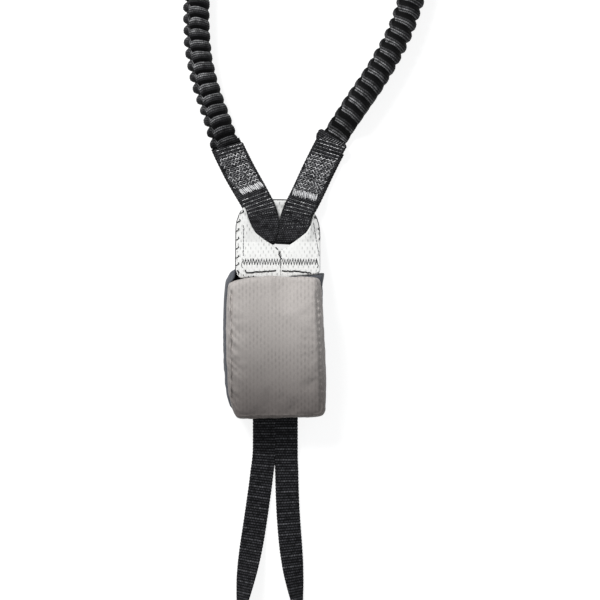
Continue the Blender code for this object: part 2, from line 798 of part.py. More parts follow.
def tear_webbing():
    """The folded tear webbing: one ribbon laid to and fro, which rips open to brake a fall."""
    lowest = pouch_wall + seat_gap + tear_thickness / 2
    highest = front_height - front_crown - pouch_wall - tear_room - tear_thickness / 2
    pitch = (highest - lowest) / (tear_plies - 1)
    turn_radius = pitch / 2
    points = [(tear_bottom_y + turn_radius, lowest)]
    for ply in range(tear_plies):
        height = lowest + pitch * ply
        at_top = ply % 2 == 0
        end_y = tear_top_y - turn_radius - tear_thickness / 2 if at_top else tear_bottom_y + turn_radius + tear_thickness / 2
        if ply == tear_plies - 1:
            points.append((end_y, height))
            break
        for step in range(5):
            turn = math.radians(-90) + math.radians(180) * step / 4
            reach = turn_radius * math.cos(turn) * (1 if at_top else -1)
            points.append((end_y + reach, height + turn_radius + turn_radius * math.sin(turn)))
    obj = curve_object("tear", [(y, z, 0) for y, z in points])
    obj.data.bevel_depth = tear_thickness / 2
    obj.data.bevel_resolution = 0
    obj.data.extrude = (tear_width - tear_thickness) / 2
    made = mesh_object("tear_webbing", obj, "white_webbing")
    made.data.transform(Matrix(((0, 0, 1, 0), (1, 0, 0, 0), (0, 1, 0, 0), (0, 0, 0, 1))))
    print("tear webbing, least gap to itself in mm:", round(1000 * (pitch - tear_thickness), 2))
    return made


# Tie-in sling

def sling_roll(point):
    """Flat near the pouch, and on its edge round the far end of the loop."""
    share = smooth_step(-point.y, -sling_flat_until_y, -sling_on_edge_from_y)
    return math.radians(90) * share


def sling_height(point):
    """The height of the sling's middle: at the pouch's mouth, then down on the floor."""
    roll = sling_roll(point)
    half_width, half_thickness = sling_width / 2, sling_thickness / 2
    lying = floor_gap + (half_width - half_thickness) * math.sin(roll) + half_thickness
    from_mouth = 1 - smooth_step(-point.y, -back_bottom_y, -sling_down_by_y)
    return lying + (sling_mouth_height - lying) * from_mouth


def tie_in_sling():
    """The sling that is girth-hitched to the harness, both of its strands held in the pouch."""
    route = Route(sling_route)
    stations = 64
    points = [(route.length * index / stations, 0, 0) for index in range(stations + 1)]
    obj = curve_object("sling", points)
    obj.data.bevel_depth = sling_thickness / 2
    obj.data.bevel_resolution = 0
    obj.data.extrude = (sling_width - sling_thickness) / 2
    sling = mesh_object("tie_in_sling", obj, "black_webbing")
    sling.data.transform(Matrix.Rotation(math.radians(90), 4, "X"))
    bend_along(sling, route, sling_roll, sling_height)
    round_off(sling)
    return sling


# Carabiner

def smooth_points(spots, steps):
    """Points on a smooth curve through a few given ones."""
    ends = [
        tuple(2 * a - b for a, b in zip(spots[0], spots[1])), *spots,
        tuple(2 * a - b for a, b in zip(spots[-1], spots[-2])),
    ]
    made = []
    for a, b, c, d in zip(ends, ends[1:], ends[2:], ends[3:]):
        for step in range(steps):
            t = step / steps
            made.append(tuple(
                q + (r - p) * t / 2 + (p - 2.5 * q + 2 * r - s / 2) * t**2 + (1.5 * q - 1.5 * r + s / 2 - p / 2) * t**3
                for p, q, r, s in zip(a, b, c, d)
            ))
    return [*made, tuple(spots[-1])]


def spine_points():
    """The middle of the rod from the base up the spine to the start of the basket."""
    basket_left = basket_center_x - basket_radius
    return smooth_points([
        (spine_x, spine_root_y),
        (spine_x, (spine_root_y + spine_bend_y) / 2),
        (spine_x + (basket_left - spine_x) * 0.22, spine_bend_y),
        (spine_x + (basket_left - spine_x) * 0.72, (spine_bend_y + basket_center_y) / 2),
        (basket_left, basket_center_y),
    ], 4)


def key_shape(name, top_y, clearance, outer_run, sweep=0):
    """The T-shaped tongue under the nose, or with a clearance the gate's pocket for it, open outwards."""
    neck = tongue_neck_half_width + clearance
    head = tongue_head_half_width + clearance
    low = nose_y - tongue_depth - clearance - sweep
    high = nose_y - tongue_depth + tongue_head_height + clearance
    outline = [(neck, top_y), (-neck, top_y), (-neck, high), (-head, high), (-head, low), (head, low), (head, high), (neck, high)]
    inner_run = tongue_half_run + clearance
    key = mesh_object(name, outline_object(name, outline, inner_run + outer_run))
    key.data.transform(Matrix.Rotation(math.radians(90), 4, "Y"))
    key.data.transform(Matrix.Translation((nose_x + (outer_run - inner_run) / 2, 0, 0)))
    return key


def carabiner_frame(side):
    """The forged frame: base with the webbing bar, spine, basket and nose, grooved for gate and lever."""
    name = f"carabiner_frame_{side}"
    basket = [
        (basket_center_x + basket_radius * math.cos(turn), basket_center_y + basket_radius * math.sin(turn))
        for turn in [math.pi + (nose_angle - math.pi) * step / 18 for step in range(1, 19)]
    ]
    rod = curve_object(f"rod_{side}", [(x, y, 0) for x, y in [*spine_points(), *basket]])
    rod.data.bevel_depth = rod_radius
    rod.data.bevel_resolution = 3
    rod = mesh_object(f"rod_{side}", rod)

    frame = mesh_object(name, outline_object(name, base_outline, frame_thickness), "anodised_aluminium")
    bevel(frame, base_edge)
    boolean(frame, rod, "UNION")

    half_slot = webbing_slot_half_width
    end_cut = box(f"bar_room_{side}", (-half_slot, -lug_nose - cut_overrun, -frame_thickness),
                  (half_slot, webbing_slot_end_y, frame_thickness))
    boolean(frame, end_cut)
    bar = cylinder(f"bar_{side}", (0, 0, 0), bar_radius, 2 * (half_slot + bar_root), "X", 16)
    boolean(frame, bar, "UNION")

    half_groove = groove_width / 2
    inner = box(f"gate_groove_{side}", (spine_x + rod_radius + spine_skin, base_floor_y, -half_groove),
                (base_right_x, base_top_y, half_groove))
    outer = box(f"lever_groove_{side}", (base_left_x, base_floor_y, -half_groove),
                (spine_x + 2 * rod_radius, spine_root_y, half_groove))
    boolean(frame, inner)
    boolean(frame, outer)
    beside = box(f"lever_way_{side}", (base_left_x, lever_pivot_y, -half_groove),
                 (spine_x - rod_radius - spine_skin, base_top_y, half_groove))
    boolean(frame, beside)

    for pivot, label in ((gate_pivot, "gate"), (lever_pivot, "lever")):
        hole = cylinder(f"{label}_pin_hole_{side}", pivot, pin_radius + pin_clearance, 2 * frame_thickness, sides=16)
        boolean(frame, hole)

    boolean(frame, key_shape(f"tongue_{side}", nose_y + tongue_root, 0, tongue_half_run), "UNION")
    settle(frame)
    round_off(frame)
    return frame


def gate(side):
    """The solid gate, narrow at its hub and open at its top for the frame's tongue."""
    name = f"gate_{side}"
    half = gate_width / 2
    hub = [
        (gate_pivot_x + gate_hub_radius * math.cos(turn), gate_pivot_y + gate_hub_radius * math.sin(turn))
        for turn in [math.radians(-80 + 80 * step / 4) for step in range(5)]
    ]
    outline = [
        (gate_pivot_x - gate_heel_x, gate_pivot_y - gate_heel_y),
        (gate_pivot_x - gate_heel_x / 2, gate_pivot_y - gate_heel_y), *hub,
        (gate_top_x + half, gate_top_y - half), (gate_top_x + half / 2, gate_top_y),
        (gate_top_x - half / 2, gate_top_y), (gate_top_x - half, gate_top_y - half),
        (gate_pivot_x - half, gate_shoulder_y), (gate_pivot_x - gate_heel_x, gate_pivot_y + gate_heel_y),
    ]
    made = mesh_object(name, outline_object(name, outline, gate_thickness), "brushed_aluminium")
    bevel(made, gate_edge)
    thin = groove_width / 2 - groove_clearance
    reach = gate_hub_radius + cut_overrun
    for direction, label in ((1, "upper"), (-1, "lower")):
        cheek = box(
            f"gate_{label}_cut_{side}",
            (gate_pivot_x - 2 * reach, gate_pivot_y - 2 * reach, min(direction * thin, direction * gate_thickness)),
            (gate_pivot_x + 2 * reach, gate_shoulder_y, max(direction * thin, direction * gate_thickness)),
        )
        boolean(made, cheek)
    boolean(made, key_shape(f"tongue_pocket_{side}", gate_top_y + cut_overrun, tongue_clearance, gate_width,
                            tongue_sweep))
    boolean(made, cylinder(f"gate_bore_{side}", gate_pivot, pin_radius + pin_clearance, gate_thickness * 2, sides=16))
    seat = gate_pivot + Vector((0, 0, thin))
    boolean(made, cylinder(f"gate_spring_seat_{side}", seat, spring_seat_radius, 2 * spring_seat_depth, sides=16))
    settle(made)
    round_off(made)
    return made


def spine_outer_x(y):
    """The outer side of the spine at a height."""
    points = spine_points()
    for (x0, y0), (x1, y1) in zip(points, points[1:]):
        if y0 <= y <= y1:
            lean = (x1 - x0) / (y1 - y0)
            return x0 + (y - y0) * lean - rod_radius * math.sqrt(1 + lean * lean)
    return points[0][0] - rod_radius


def palm_lever(side):
    """The squeeze lever: a paddle outside the spine, and a finger under the gate's heel that blocks it."""
    name = f"palm_lever_{side}"
    thin = groove_width / 2 - groove_clearance
    lever = mesh_object(name, outline_object(name, lever_outline, 2 * thin), "lever_plastic")

    rows = 8
    inner, outer = [], []
    for row in range(rows + 1):
        y = paddle_bottom_y + (paddle_top_y - paddle_bottom_y) * row / rows
        travel = (y - lever_pivot_y) * math.sin(lever_press)
        x = spine_outer_x(y) - travel - paddle_gap
        inner.append((x, y))
        end_taper = math.sin(math.pi * (0.25 + 0.55 * row / rows))
        outer.append((x - paddle_depth * end_taper, y))
    paddle = mesh_object(f"paddle_{side}", outline_object("paddle", [*inner, *reversed(outer)], paddle_width))
    bevel(paddle, paddle_edge)
    boolean(lever, paddle, "UNION")
    boolean(lever, cylinder(f"lever_bore_{side}", lever_pivot, pin_radius + pin_clearance, frame_thickness, sides=16))
    seat = lever_pivot + Vector((0, 0, thin))
    boolean(lever, cylinder(f"lever_spring_seat_{side}", seat, spring_seat_radius, 2 * spring_seat_depth, sides=16))
    settle(lever)
    round_off(lever)
    return lever


def rivet(name, pivot):
    return cylinder(name, pivot, pin_radius, frame_thickness, sides=16, material="steel")


def torsion_spring(name, pivot):
    """Two turns of wire round a pin, in the seat beside its hub."""
    steps = 8
    start = groove_width / 2 - groove_clearance - spring_seat_depth + spring_wire_radius + seat_gap / 2
    rise = (spring_seat_depth - 2 * spring_wire_radius - seat_gap) / spring_turns
    points = []
    for step in range(spring_turns * steps + 1):
        turn = 2 * math.pi * step / steps
        points.append(pivot + Vector((
            spring_coil_radius * math.cos(turn), spring_coil_radius * math.sin(turn), start + rise * step / steps,
        )))
    wire = curve_object(name, points)
    wire.data.bevel_depth = spring_wire_radius
    wire.data.bevel_resolution = 1
    print(name, "least gap to itself in mm:", round(1000 * (rise - 2 * spring_wire_radius), 2))
    return mesh_object(name, wire, "steel")


def carabiner(side, route):
    """All of one carabiner on an empty at the end of its arm, the right one turned over."""
    pieces = [
        carabiner_frame(side), gate(side), palm_lever(side), rivet(f"gate_pin_{side}", gate_pivot),
        rivet(f"lever_pin_{side}", lever_pivot), torsion_spring(f"gate_spring_{side}", gate_pivot),
        torsion_spring(f"lever_spring_{side}", lever_pivot),
    ]
    point, ahead = route.at(arm_length)
    stand = bpy.data.objects.new(f"carabiner_{side}", None)
    bpy.data.collections["via_ferrata_lanyard"].objects.link(stand)
    stand.location = (point.x, point.y, carabiner_height)
    turned_over = math.pi if side == "right" else 0.0
    heading = math.atan2(-ahead.x, ahead.y)
    stand.rotation_euler = (0, turned_over, heading)
    for piece in pieces:
        piece.parent = stand
    for piece, pivot in ((pieces[1], gate_pivot), (pieces[2], lever_pivot)):
        piece.data.transform(Matrix.Translation(-pivot))
        piece.location = pivot
    print(f"carabiner_{side} bar at", [round(value, 5) for value in stand.location], "heading", round(math.degrees(heading), 3))


def main():
    start_scene()
    pouch_back()
    pouch_front()
    tear_webbing()
    eye_back()
    eye_front("left", -1)
    eye_front("right", 1)
    tie_in_sling()
    for side, points in arm_routes.items():
        route = Route(points)
        eye_loop(side, route)
        arm_sleeve(side, route)
        elastic_core(side, route)
        end_loop(side, route)
        keeper(side, route)
        carabiner(side, route)


main()
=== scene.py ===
import bisect
import math
import random

import bmesh
import bpy
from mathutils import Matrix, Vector, noise


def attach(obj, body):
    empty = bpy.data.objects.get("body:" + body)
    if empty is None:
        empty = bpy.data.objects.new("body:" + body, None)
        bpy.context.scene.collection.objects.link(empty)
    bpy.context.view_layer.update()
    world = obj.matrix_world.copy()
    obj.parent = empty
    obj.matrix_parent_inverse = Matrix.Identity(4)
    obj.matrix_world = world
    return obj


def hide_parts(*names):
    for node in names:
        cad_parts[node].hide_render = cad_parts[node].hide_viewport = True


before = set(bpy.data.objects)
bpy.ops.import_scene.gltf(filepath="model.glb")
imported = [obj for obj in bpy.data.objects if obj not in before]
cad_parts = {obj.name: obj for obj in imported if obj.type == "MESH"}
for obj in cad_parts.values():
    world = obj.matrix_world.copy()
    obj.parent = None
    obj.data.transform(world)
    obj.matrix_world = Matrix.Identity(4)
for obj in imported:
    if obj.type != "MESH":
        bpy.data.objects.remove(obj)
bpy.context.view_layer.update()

mm = 0.001
fixedBody = "absorber_and_arms"
bothSides = ("left", "right")
routeSteps = 16


def linearColour(hexText):
    parts = [int(hexText[i:i + 2], 16) / 255 for i in (1, 3, 5)]
    return tuple(c / 12.92 if c <= 0.04045 else ((c + 0.055) / 1.055) ** 2.4 for c in parts) + (1.0,)


# Inputs are given by name or in order: values are set on the new node, and nodes or sockets are linked to it.
# A noise spreads over about 0.3 to 0.7, which is why so many ranges start from there.
def addNode(tree, kind, inputs=(), **settings):
    node = tree.nodes.new("ShaderNode" + kind)
    for name, value in settings.items():
        setattr(node, name, value)
    for name, value in inputs.items() if isinstance(inputs, dict) else enumerate(inputs):
        if isinstance(value, bpy.types.Node):
            value = value.outputs[0]
        if isinstance(value, bpy.types.NodeSocket):
            tree.links.new(value, node.inputs[name])
        else:
            node.inputs[name].default_value = value
    return node


def newMaterial(name, shaderValues):
    material = bpy.data.materials.new(name)
    material.use_nodes = True
    tree = material.node_tree
    shader = tree.nodes["Principled BSDF"]
    for socket, value in shaderValues.items():
        shader.inputs[socket].default_value = value
    return material, tree, shader


# The base colour under a fine mottle, and the surface's relief.
def finishSurface(tree, shader, colour, mottle, variation, height, relief):
    fade = addNode(tree, "MapRange", (mottle, 0.3, 0.7, 1 - variation, 1 + variation))
    tinted = addNode(tree, "VectorMath", {0: colour, "Scale": fade}, operation="SCALE")
    bump = addNode(tree, "Bump", {"Height": height, "Strength": 1.0, "Distance": relief})
    tree.links.new(tinted.outputs[0], shader.inputs["Base Color"])
    tree.links.new(bump.outputs[0], shader.inputs["Normal"])


# A stop's colour is a hex value or a level of grey.
def setStops(ramp, stops):
    elements = ramp.color_ramp.elements
    stops = [(spot, linearColour(tone) if isinstance(tone, str) else (tone, tone, tone, 1)) for spot, tone in stops]
    for element, (spot, colour) in ((elements[0], stops[0]), (elements[1], stops[-1])):
        element.position, element.color = spot, colour
    for spot, colour in stops[1:-1]:
        elements.new(spot).color = colour


def easeStep(value, start, end):
    share = min(1.0, max(0.0, (value - start) / (end - start)))
    return share * share * (3 - 2 * share)


def noiseAt(*place):
    return noise.noise(Vector(place))


def inMetres(points):
    return [tuple(value * mm for value in point) for point in points]


def smoothThrough(spots, steps, closed=False):
    spots = [Vector(spot) for spot in spots]
    if closed:
        ends = [spots[-1], *spots, spots[0], spots[1]]
    else:
        ends = [2 * spots[0] - spots[1], *spots, 2 * spots[-1] - spots[-2]]
    line = []
    for a, b, c, d in zip(ends, ends[1:], ends[2:], ends[3:]):
        for step in range(steps):
            t = step / steps
            bend = (a - b * 2.5 + c * 2 - d / 2) * t**2
            line.append(b + (c - a) * (t / 2) + bend + (b * 1.5 - c * 1.5 + d / 2 - a / 2) * t**3)
    if not closed:
        line.append(spots[-1])
    return line


def leftOf(ahead):
    return Vector((-ahead.y, ahead.x, 0)).normalized()


class Route:
    def __init__(self, table):
        self.line = smoothThrough([(x, y, 0) for x, y in inMetres(table)], routeSteps)
        self.reach = [0.0]
        for before, after in zip(self.line, self.line[1:]):
            self.reach.append(self.reach[-1] + (after - before).length)
        self.length = self.reach[-1]

    # The point and the direction at a length along the line.
    def at(self, distance):
        low = min(max(bisect.bisect_left(self.reach, distance) - 1, 0), len(self.line) - 2)
        step = self.line[low + 1] - self.line[low]
        share = (distance - self.reach[low]) / step.length
        before, after = self.line[max(low - 1, 0)], self.line[min(low + 2, len(self.line) - 1)]
        return self.line[low] + step * share, (after - before).normalized()

    # A point given as along, across (to the left) and up, laid on the route.
    def lay(self, along, across, up):
        point, ahead = self.at(along)
        return point + leftOf(ahead) * across + Vector((0, 0, up))


# Vertices, faces and uvs of one mesh. The uvs are in metres, one more a row where a skin is closed,
# and where none are given they are the points' own x and y.
class Build:
    def __init__(self):
        self.verts, self.faces, self.uvs = [], [], []

    def skin(self, rows, uvRows=None, closed=False):
        start, count = len(self.verts), len(rows[0])
        uvRows = uvRows or [[(point[0], point[1]) for point in [*row, row[0]]] for row in rows]
        for row in rows:
            self.verts += row
        for r in range(len(rows) - 1):
            for c in range(count if closed else count - 1):
                d = (c + 1) % count
                near, far = start + r * count, start + (r + 1) * count
                self.faces.append((near + c, near + d, far + d, far + c))
                self.uvs += [uvRows[r][c], uvRows[r][c + 1], uvRows[r + 1][c + 1], uvRows[r + 1][c]]
        return start

    def cap(self, indices):
        self.faces.append(tuple(indices))
        self.uvs += [(self.verts[index][0], self.verts[index][1]) for index in self.faces[-1]]


def joinModel(piece, material, body=fixedBody, replaced=(), parent=None):
    bpy.context.scene.collection.objects.link(piece)
    piece.data.materials.append(material)
    if parent:
        piece.parent = parent
    else:
        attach(piece, body)
    if replaced:
        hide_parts(*replaced)
    return piece


def cleanMesh(mesh, mergeWithin=0.0):
    bm = bmesh.new()
    bm.from_mesh(mesh)
    if mergeWithin:
        bmesh.ops.remove_doubles(bm, verts=bm.verts, dist=mergeWithin)
    bmesh.ops.recalc_face_normals(bm, faces=bm.faces)
    bm.to_mesh(mesh)
    bm.free()


def addPiece(name, build, material, merged=False, **piece):
    mesh = bpy.data.meshes.new(name)
    mesh.from_pydata([tuple(vert) for vert in build.verts], [], build.faces)
    layer = mesh.uv_layers.new(name="metres")
    layer.data.foreach_set("uv", [value for uv in build.uvs for value in uv])
    cleanMesh(mesh)
    mesh.shade_smooth()
    made = joinModel(bpy.data.objects.new(name, mesh), material, **piece)
    if merged:
        cleanMesh(made.data, mergeWithin=0.01 * mm)
    return made


def addTube(name, rows, uvRows, material, **piece):
    build = Build()
    build.skin(rows, uvRows, closed=True)
    count = len(rows[0])
    build.cap(range(count))
    build.cap(reversed(range(len(build.verts) - count, len(build.verts))))
    return addPiece(name, build, material, **piece)


# A thin piece from rows of points on its upper and lower sides, closed all round.
def addSlab(name, tops, bottoms, material, uvRows=None, **piece):
    build = Build()
    rows = [upper + lower[::-1] for upper, lower in zip(tops, bottoms)]
    build.skin(rows, uvRows and [[*uv, *uv[::-1], uv[0]] for uv in uvRows], closed=True)
    count = len(rows[0])
    for start in (0, len(build.verts) - count):
        for index in range(count // 2 - 1):
            build.cap((start + index, start + index + 1, start + count - 2 - index, start + count - 1 - index))
    return addPiece(name, build, material, **piece)


# Thread as one mesh, drawn as a round bevelled run for each list of points.
def addThread(name, runs, radius, material, parent):
    curve = bpy.data.curves.new(name, "CURVE")
    curve.dimensions = "3D"
    curve.bevel_depth = radius
    curve.bevel_resolution = 1
    curve.use_fill_caps = True
    for run in runs:
        spline = curve.splines.new("POLY")
        spline.points.add(len(run) - 1)
        spline.points.foreach_set("co", [value for point in run for value in (*point, 1.0)])
    drawn = bpy.data.objects.new(name, curve)
    mesh = bpy.data.meshes.new_from_object(drawn)
    mesh.name = name
    bpy.data.objects.remove(drawn)
    return joinModel(bpy.data.objects.new(name, mesh), material, parent=parent)


# Camera, floor and light. The lamps are at a plain level, and the floor is white to the camera alone.
studio = {
    "viewCentre": (0.018, 0.0338), "viewWidth": 0.432, "viewLevel": 0.010, "distance": 3.0, "sensor": 36.0,
    "clip": (0.05, 20),
    "floorSize": 6.0, "floorLevel": -0.0002, "floorColour": "#9a9a9a", "floorGlow": 0.85,
    "worldColour": "#eef1f4", "worldStrength": 0.28,
    "lamps": {"key": {"place": (-0.62, 1.05, 0.95), "size": 0.50, "power": 20.5},
              "fill": {"place": (0.75, -0.35, 1.3), "size": 1.2, "power": 3.0}},
}


def showsBackground(tree):
    rays = addNode(tree, "LightPath").outputs
    seen = addNode(tree, "Math", (rays["Is Camera Ray"], rays["Is Glossy Ray"]), operation="MAXIMUM")
    return addNode(tree, "Math", (seen, rays["Is Transmission Ray"]), operation="MAXIMUM")


def makeCamera():
    camera = bpy.data.cameras.new("camera")
    camera.sensor_width = studio["sensor"]
    camera.lens = studio["sensor"] * studio["distance"] / studio["viewWidth"]
    camera.clip_start, camera.clip_end = studio["clip"]
    holder = bpy.data.objects.new("camera", camera)
    holder.location = (*studio["viewCentre"], studio["distance"] + studio["viewLevel"])
    bpy.context.scene.collection.objects.link(holder)
    bpy.context.scene.camera = holder


def makeFloor():
    material, tree, shader = newMaterial("paintedPaperBackdrop", {
        "Roughness": 0.9, "Specular IOR Level": 0.2, "Base Color": linearColour(studio["floorColour"]),
    })
    glow = addNode(tree, "Emission", {"Color": (1, 1, 1, 1), "Strength": studio["floorGlow"]})
    both = addNode(tree, "AddShader", (shader, glow))
    mixed = addNode(tree, "MixShader", (showsBackground(tree), shader, both))
    tree.links.new(mixed.outputs[0], tree.nodes["Material Output"].inputs["Surface"])
    half, z = studio["floorSize"] / 2, studio["floorLevel"]
    mesh = bpy.data.meshes.new("floor")
    mesh.from_pydata([(-half, -half, z), (half, -half, z), (-half, half, z), (half, half, z)], [], [(0, 1, 3, 2)])
    mesh.materials.append(material)
    floor = bpy.data.objects.new("floor", mesh)
    bpy.context.scene.collection.objects.link(floor)


def makeLight():
    world = bpy.data.worlds.new("studio")
    bpy.context.scene.world = world
    world.use_nodes = True
    tree = world.node_tree
    tree.nodes.clear()
    soft = addNode(tree, "Background", (linearColour(studio["worldColour"]), studio["worldStrength"]))
    white = addNode(tree, "Background", ((1, 1, 1, 1), 1.0))
    addNode(tree, "OutputWorld", (addNode(tree, "MixShader", (showsBackground(tree), soft, white)),))
    for name, look in studio["lamps"].items():
        lamp = bpy.data.lights.new(name, "AREA")
        lamp.size, lamp.energy = look["size"], look["power"]
        holder = bpy.data.objects.new(name, lamp)
        holder.location = look["place"]
        holder.rotation_euler = (-Vector(look["place"])).to_track_quat("-Z", "Y").to_euler()
        bpy.context.scene.collection.objects.link(holder)
    bpy.context.scene.view_settings.view_transform = "Standard"


makeCamera()
makeFloor()
makeLight()
print("stage: camera, floor and light")


# What every weave starts from: the place on the cloth in metres, and noises of three sizes.
def clothPlace(tree, look):
    spot = addNode(tree, "UVMap", uv_map="metres")
    noises = [
        addNode(tree, "TexNoise", {"Vector": spot, "Scale": 1 / look[size], "Detail": detail})
        for size, detail in (("drift", 2.0), ("patch", 2.0), ("fuzz", 3.0))
    ]
    return spot, *addNode(tree, "SeparateXYZ", (spot,)).outputs[:2], *noises


# Woven goods: rows of weft across the strap, each broken into floats that are staggered from row to row.
# Where the cloth is gathered, the float's tone also follows its place in the rib, which on the sleeves holds painted
# shade by the valleys; painted highlight rows can go over it, stronger round one side of the tube.
def wovenMaterial(name, look):
    material, tree, shader = newMaterial(name, look["shader"])
    spot, acrossCloth, alongCloth, bend, patch, fuzz = clothPlace(tree, look)
    row = addNode(tree, "Math", (alongCloth, 1 / look["rowPitch"]), operation="MULTIPLY")
    row = addNode(tree, "Math", (bend, look["unevenness"], row), operation="MULTIPLY_ADD")
    rowNumber = addNode(tree, "Math", (row,), operation="FLOOR")
    column = addNode(tree, "Math", (acrossCloth, 1 / look["floatLength"]), operation="MULTIPLY")
    column = addNode(tree, "Math", (rowNumber, look["stagger"], column), operation="MULTIPLY_ADD")
    waves = []
    for wave, roundness in ((row, look["rowRoundness"]), (column, look["floatRoundness"])):
        for operation, amount in (("MULTIPLY", math.pi), ("SINE", 0), ("ABSOLUTE", 0), ("POWER", roundness)):
            wave = addNode(tree, "Math", (wave, amount) if amount else (wave,), operation=operation)
        waves.append(wave)
    floatHeight = addNode(tree, "MapRange", {"Value": waves[1], "To Min": 1 - look["floatDepth"], "To Max": 1.0})
    height = addNode(tree, "Math", (waves[0], floatHeight), operation="MULTIPLY")
    if "ticks" in look:
        tick = addNode(tree, "Math", (1.0, waves[1]), operation="SUBTRACT")
        tick = addNode(tree, "Math", (tick, look["ticks"]), operation="POWER")
        here = addNode(tree, "TexNoise", {"Vector": spot, "Scale": 1 / look["tickPatch"], "Detail": 1.0})
        here = addNode(tree, "MapRange", (here, 0.38, 0.62, look["tickLeast"], 1.0))
        tick = addNode(tree, "Math", (tick, here), operation="MULTIPLY")
        height = addNode(tree, "Math", (tick, waves[0]), operation="MULTIPLY")
        height = addNode(tree, "Math", (1.0, height), operation="SUBTRACT")
    patch = addNode(tree, "MapRange", (patch, 0.35, 0.65, look["patchLeast"], 1.0))
    shown = addNode(tree, "MapRange", (height, *look["contrast"]))
    shown = addNode(tree, "Math", (shown, patch), operation="MULTIPLY")
    thread = linearColour(look["float"])
    if "ribTones" in look:
        inRib = addNode(tree, "Math", (alongCloth, 1 / look["ribLength"]), operation="MULTIPLY")
        inRib = addNode(tree, "Math", (inRib,), operation="FRACT")
        thread = addNode(tree, "ValToRGB", {"Fac": inRib})
        setStops(thread, look["ribTones"])
    mix = addNode(tree, "Mix", {0: shown, 6: linearColour(look["ground"]), 7: thread}, data_type="RGBA")
    # Painted highlight: bright floats in set places of each rib, stronger round one side of the tube.
    if "bright" in look:
        bright = look["bright"]
        strength = addNode(tree, "MapRange", {"Value": waves[1], "To Min": bright["least"], "To Max": 1.0})
        strength = addNode(tree, "Math", (strength, patch), operation="MULTIPLY")
        around = addNode(tree, "Math", (acrossCloth, 1 / bright["around"]), operation="MULTIPLY")
        for part, stops in ((inRib, bright["inRib"]), (around, bright["onTube"])):
            share = addNode(tree, "ValToRGB", {"Fac": part})
            setStops(share, stops)
            strength = addNode(tree, "Math", (strength, share), operation="MULTIPLY")
        colours = {6: mix.outputs[2], 7: linearColour(bright["colour"])}
        mix = addNode(tree, "Mix", {0: strength, **colours}, data_type="RGBA")
    finishSurface(tree, shader, mix.outputs[2], fuzz, look["variation"], height, look["relief"])
    return material


# Goods of one colour: a faint mottle and a fine grain. A metal's grain is stretched, and its shine varies with it.
def plainMaterial(name, colour, shaderValues, look):
    material, tree, shader = newMaterial(name, shaderValues)
    place = addNode(tree, "TexCoord").outputs["Object"]
    if "stretch" in look:
        place = addNode(tree, "Mapping", {"Vector": place, "Scale": look["stretch"]})
    mottle, grain = [
        addNode(tree, "TexNoise", {"Vector": place, "Scale": 1 / look[size], "Detail": look["detail"]})
        for size in ("mottle", "grain")
    ]
    if "stretch" in look:
        level = shaderValues["Roughness"]
        rough = addNode(tree, "MapRange", (mottle, 0.3, 0.7, level * 0.8, level * 1.2))
        tree.links.new(rough.outputs[0], shader.inputs["Roughness"])
    finishSurface(tree, shader, linearColour(colour)[:3], mottle, look["variation"], grain, look["relief"])
    return material


# Arms. Lengths along an arm are from its bight in the white eye, and across is to the left. Routes are in millimetres.
arm = {
    "length": 0.4400, "sleeveEnd": 0.3960, "loopLength": {"left": 0.0760, "right": 0.0860}, "endLoop": 0.0560,
    "floorGap": 0.0002, "seatGap": 0.0003, "webWidth": 0.0224, "webThickness": 0.0022, "plyHeight": 0.0013,
    "plyStep": 0.0025, "plyCover": 0.0120, "plyShortEnd": 0.0060, "plyLead": 0.0030, "plyRoom": 0.0007,
    "archHeight": 0.0045, "bightRadius": 0.0032, "endPlyHeight": 0.0030, "carabinerHeight": 0.0060,
    "barBight": 0.0048, "pressedThickness": 0.0018, "pressedOpening": 0.0240, "asideRun": (0.010, 0.034),
    "pressedFlare": {"left": 0.0009, "right": -0.0003}, "overArch": 0.0370, "drop": 0.0090, "overBar": 0.0040,
    "endDrop": 0.0150, "bightSteps": 10, "coverSteps": 8, "pathSteps": 160,
    "routes": {
        "left": [
            (-9.8, 74.5), (-8.2, 88.8), (-9.8, 97.3), (-15.5, 109), (-26.6, 129.2), (-36.6, 150.5), (-44.6, 171.8),
            (-51.4, 193.1), (-55.5, 214.4), (-56.6, 235.7), (-56.2, 264), (-54.2, 300), (-51.5, 340), (-48.8, 380),
            (-46.5, 420), (-45, 455), (-45, 480), (-45, 510),
        ],
        "right": [
            (14.2, 74.5), (15, 88.8), (17.5, 97.3), (22.7, 107.9), (32.5, 129.2), (43.7, 150.5), (57.5, 171.8),
            (72, 193.1), (84.5, 214.4), (94, 235.7), (102, 264), (106.2, 300), (105.5, 340), (102, 380), (97.5, 420),
            (95, 450), (95, 470), (95, 500),
        ],
    },
}
armRoutes = {side: Route(points) for side, points in arm["routes"].items()}

# The ribs stand 8 mm apart on the left arm and a little wider on the right, which hangs straighter.
sleeve = {
    "crest": 0.0097, "depth": 0.0024, "valleySharpness": 2.6, "crestAt": 0.46, "ribs": {"left": 41, "right": 38},
    "ribLength": 0.0080, "firstRib": {"left": 0.60, "right": 0.83}, "bore": 0.0062, "stepsPerRib": 14, "around": 84,
    "ridgesPerRib": 5, "ridge": 0.00018, "nubFrom": {"left": 0.58, "right": 0.80}, "nubEdge": (-0.03, 0.08),
    "nubShift": {"left": (0.0034, 0.0043), "right": (0.0031, 0.0033)}, "grooveDepth": 0.0004, "grooveWidth": 0.075,
    "archAt": 0.13, "fallLeft": {"left": 0.0050, "right": 0.0}, "skewTurnsAt": (0.105, 0.190),
    "fallRight": {"left": (0.0008, 0.0021), "right": (0.0014, 0.0017)}, "unevenness": 0.00028,
    "seed": {"left": 3.1, "right": 8.4}, "notchTurnsAt": (0.115, 0.170), "notchAcross": (0.45, 0.92),
    "sideNotch": {"left": ((1.35, 1.35), (0.50, 0.50)), "right": ((0.35, 0.85), (0.12, 0.85))},
    "pressedAside": {"left": 0.0016, "right": 0.0001}, "aside": {"left": 0.0, "right": 0.0007},
}
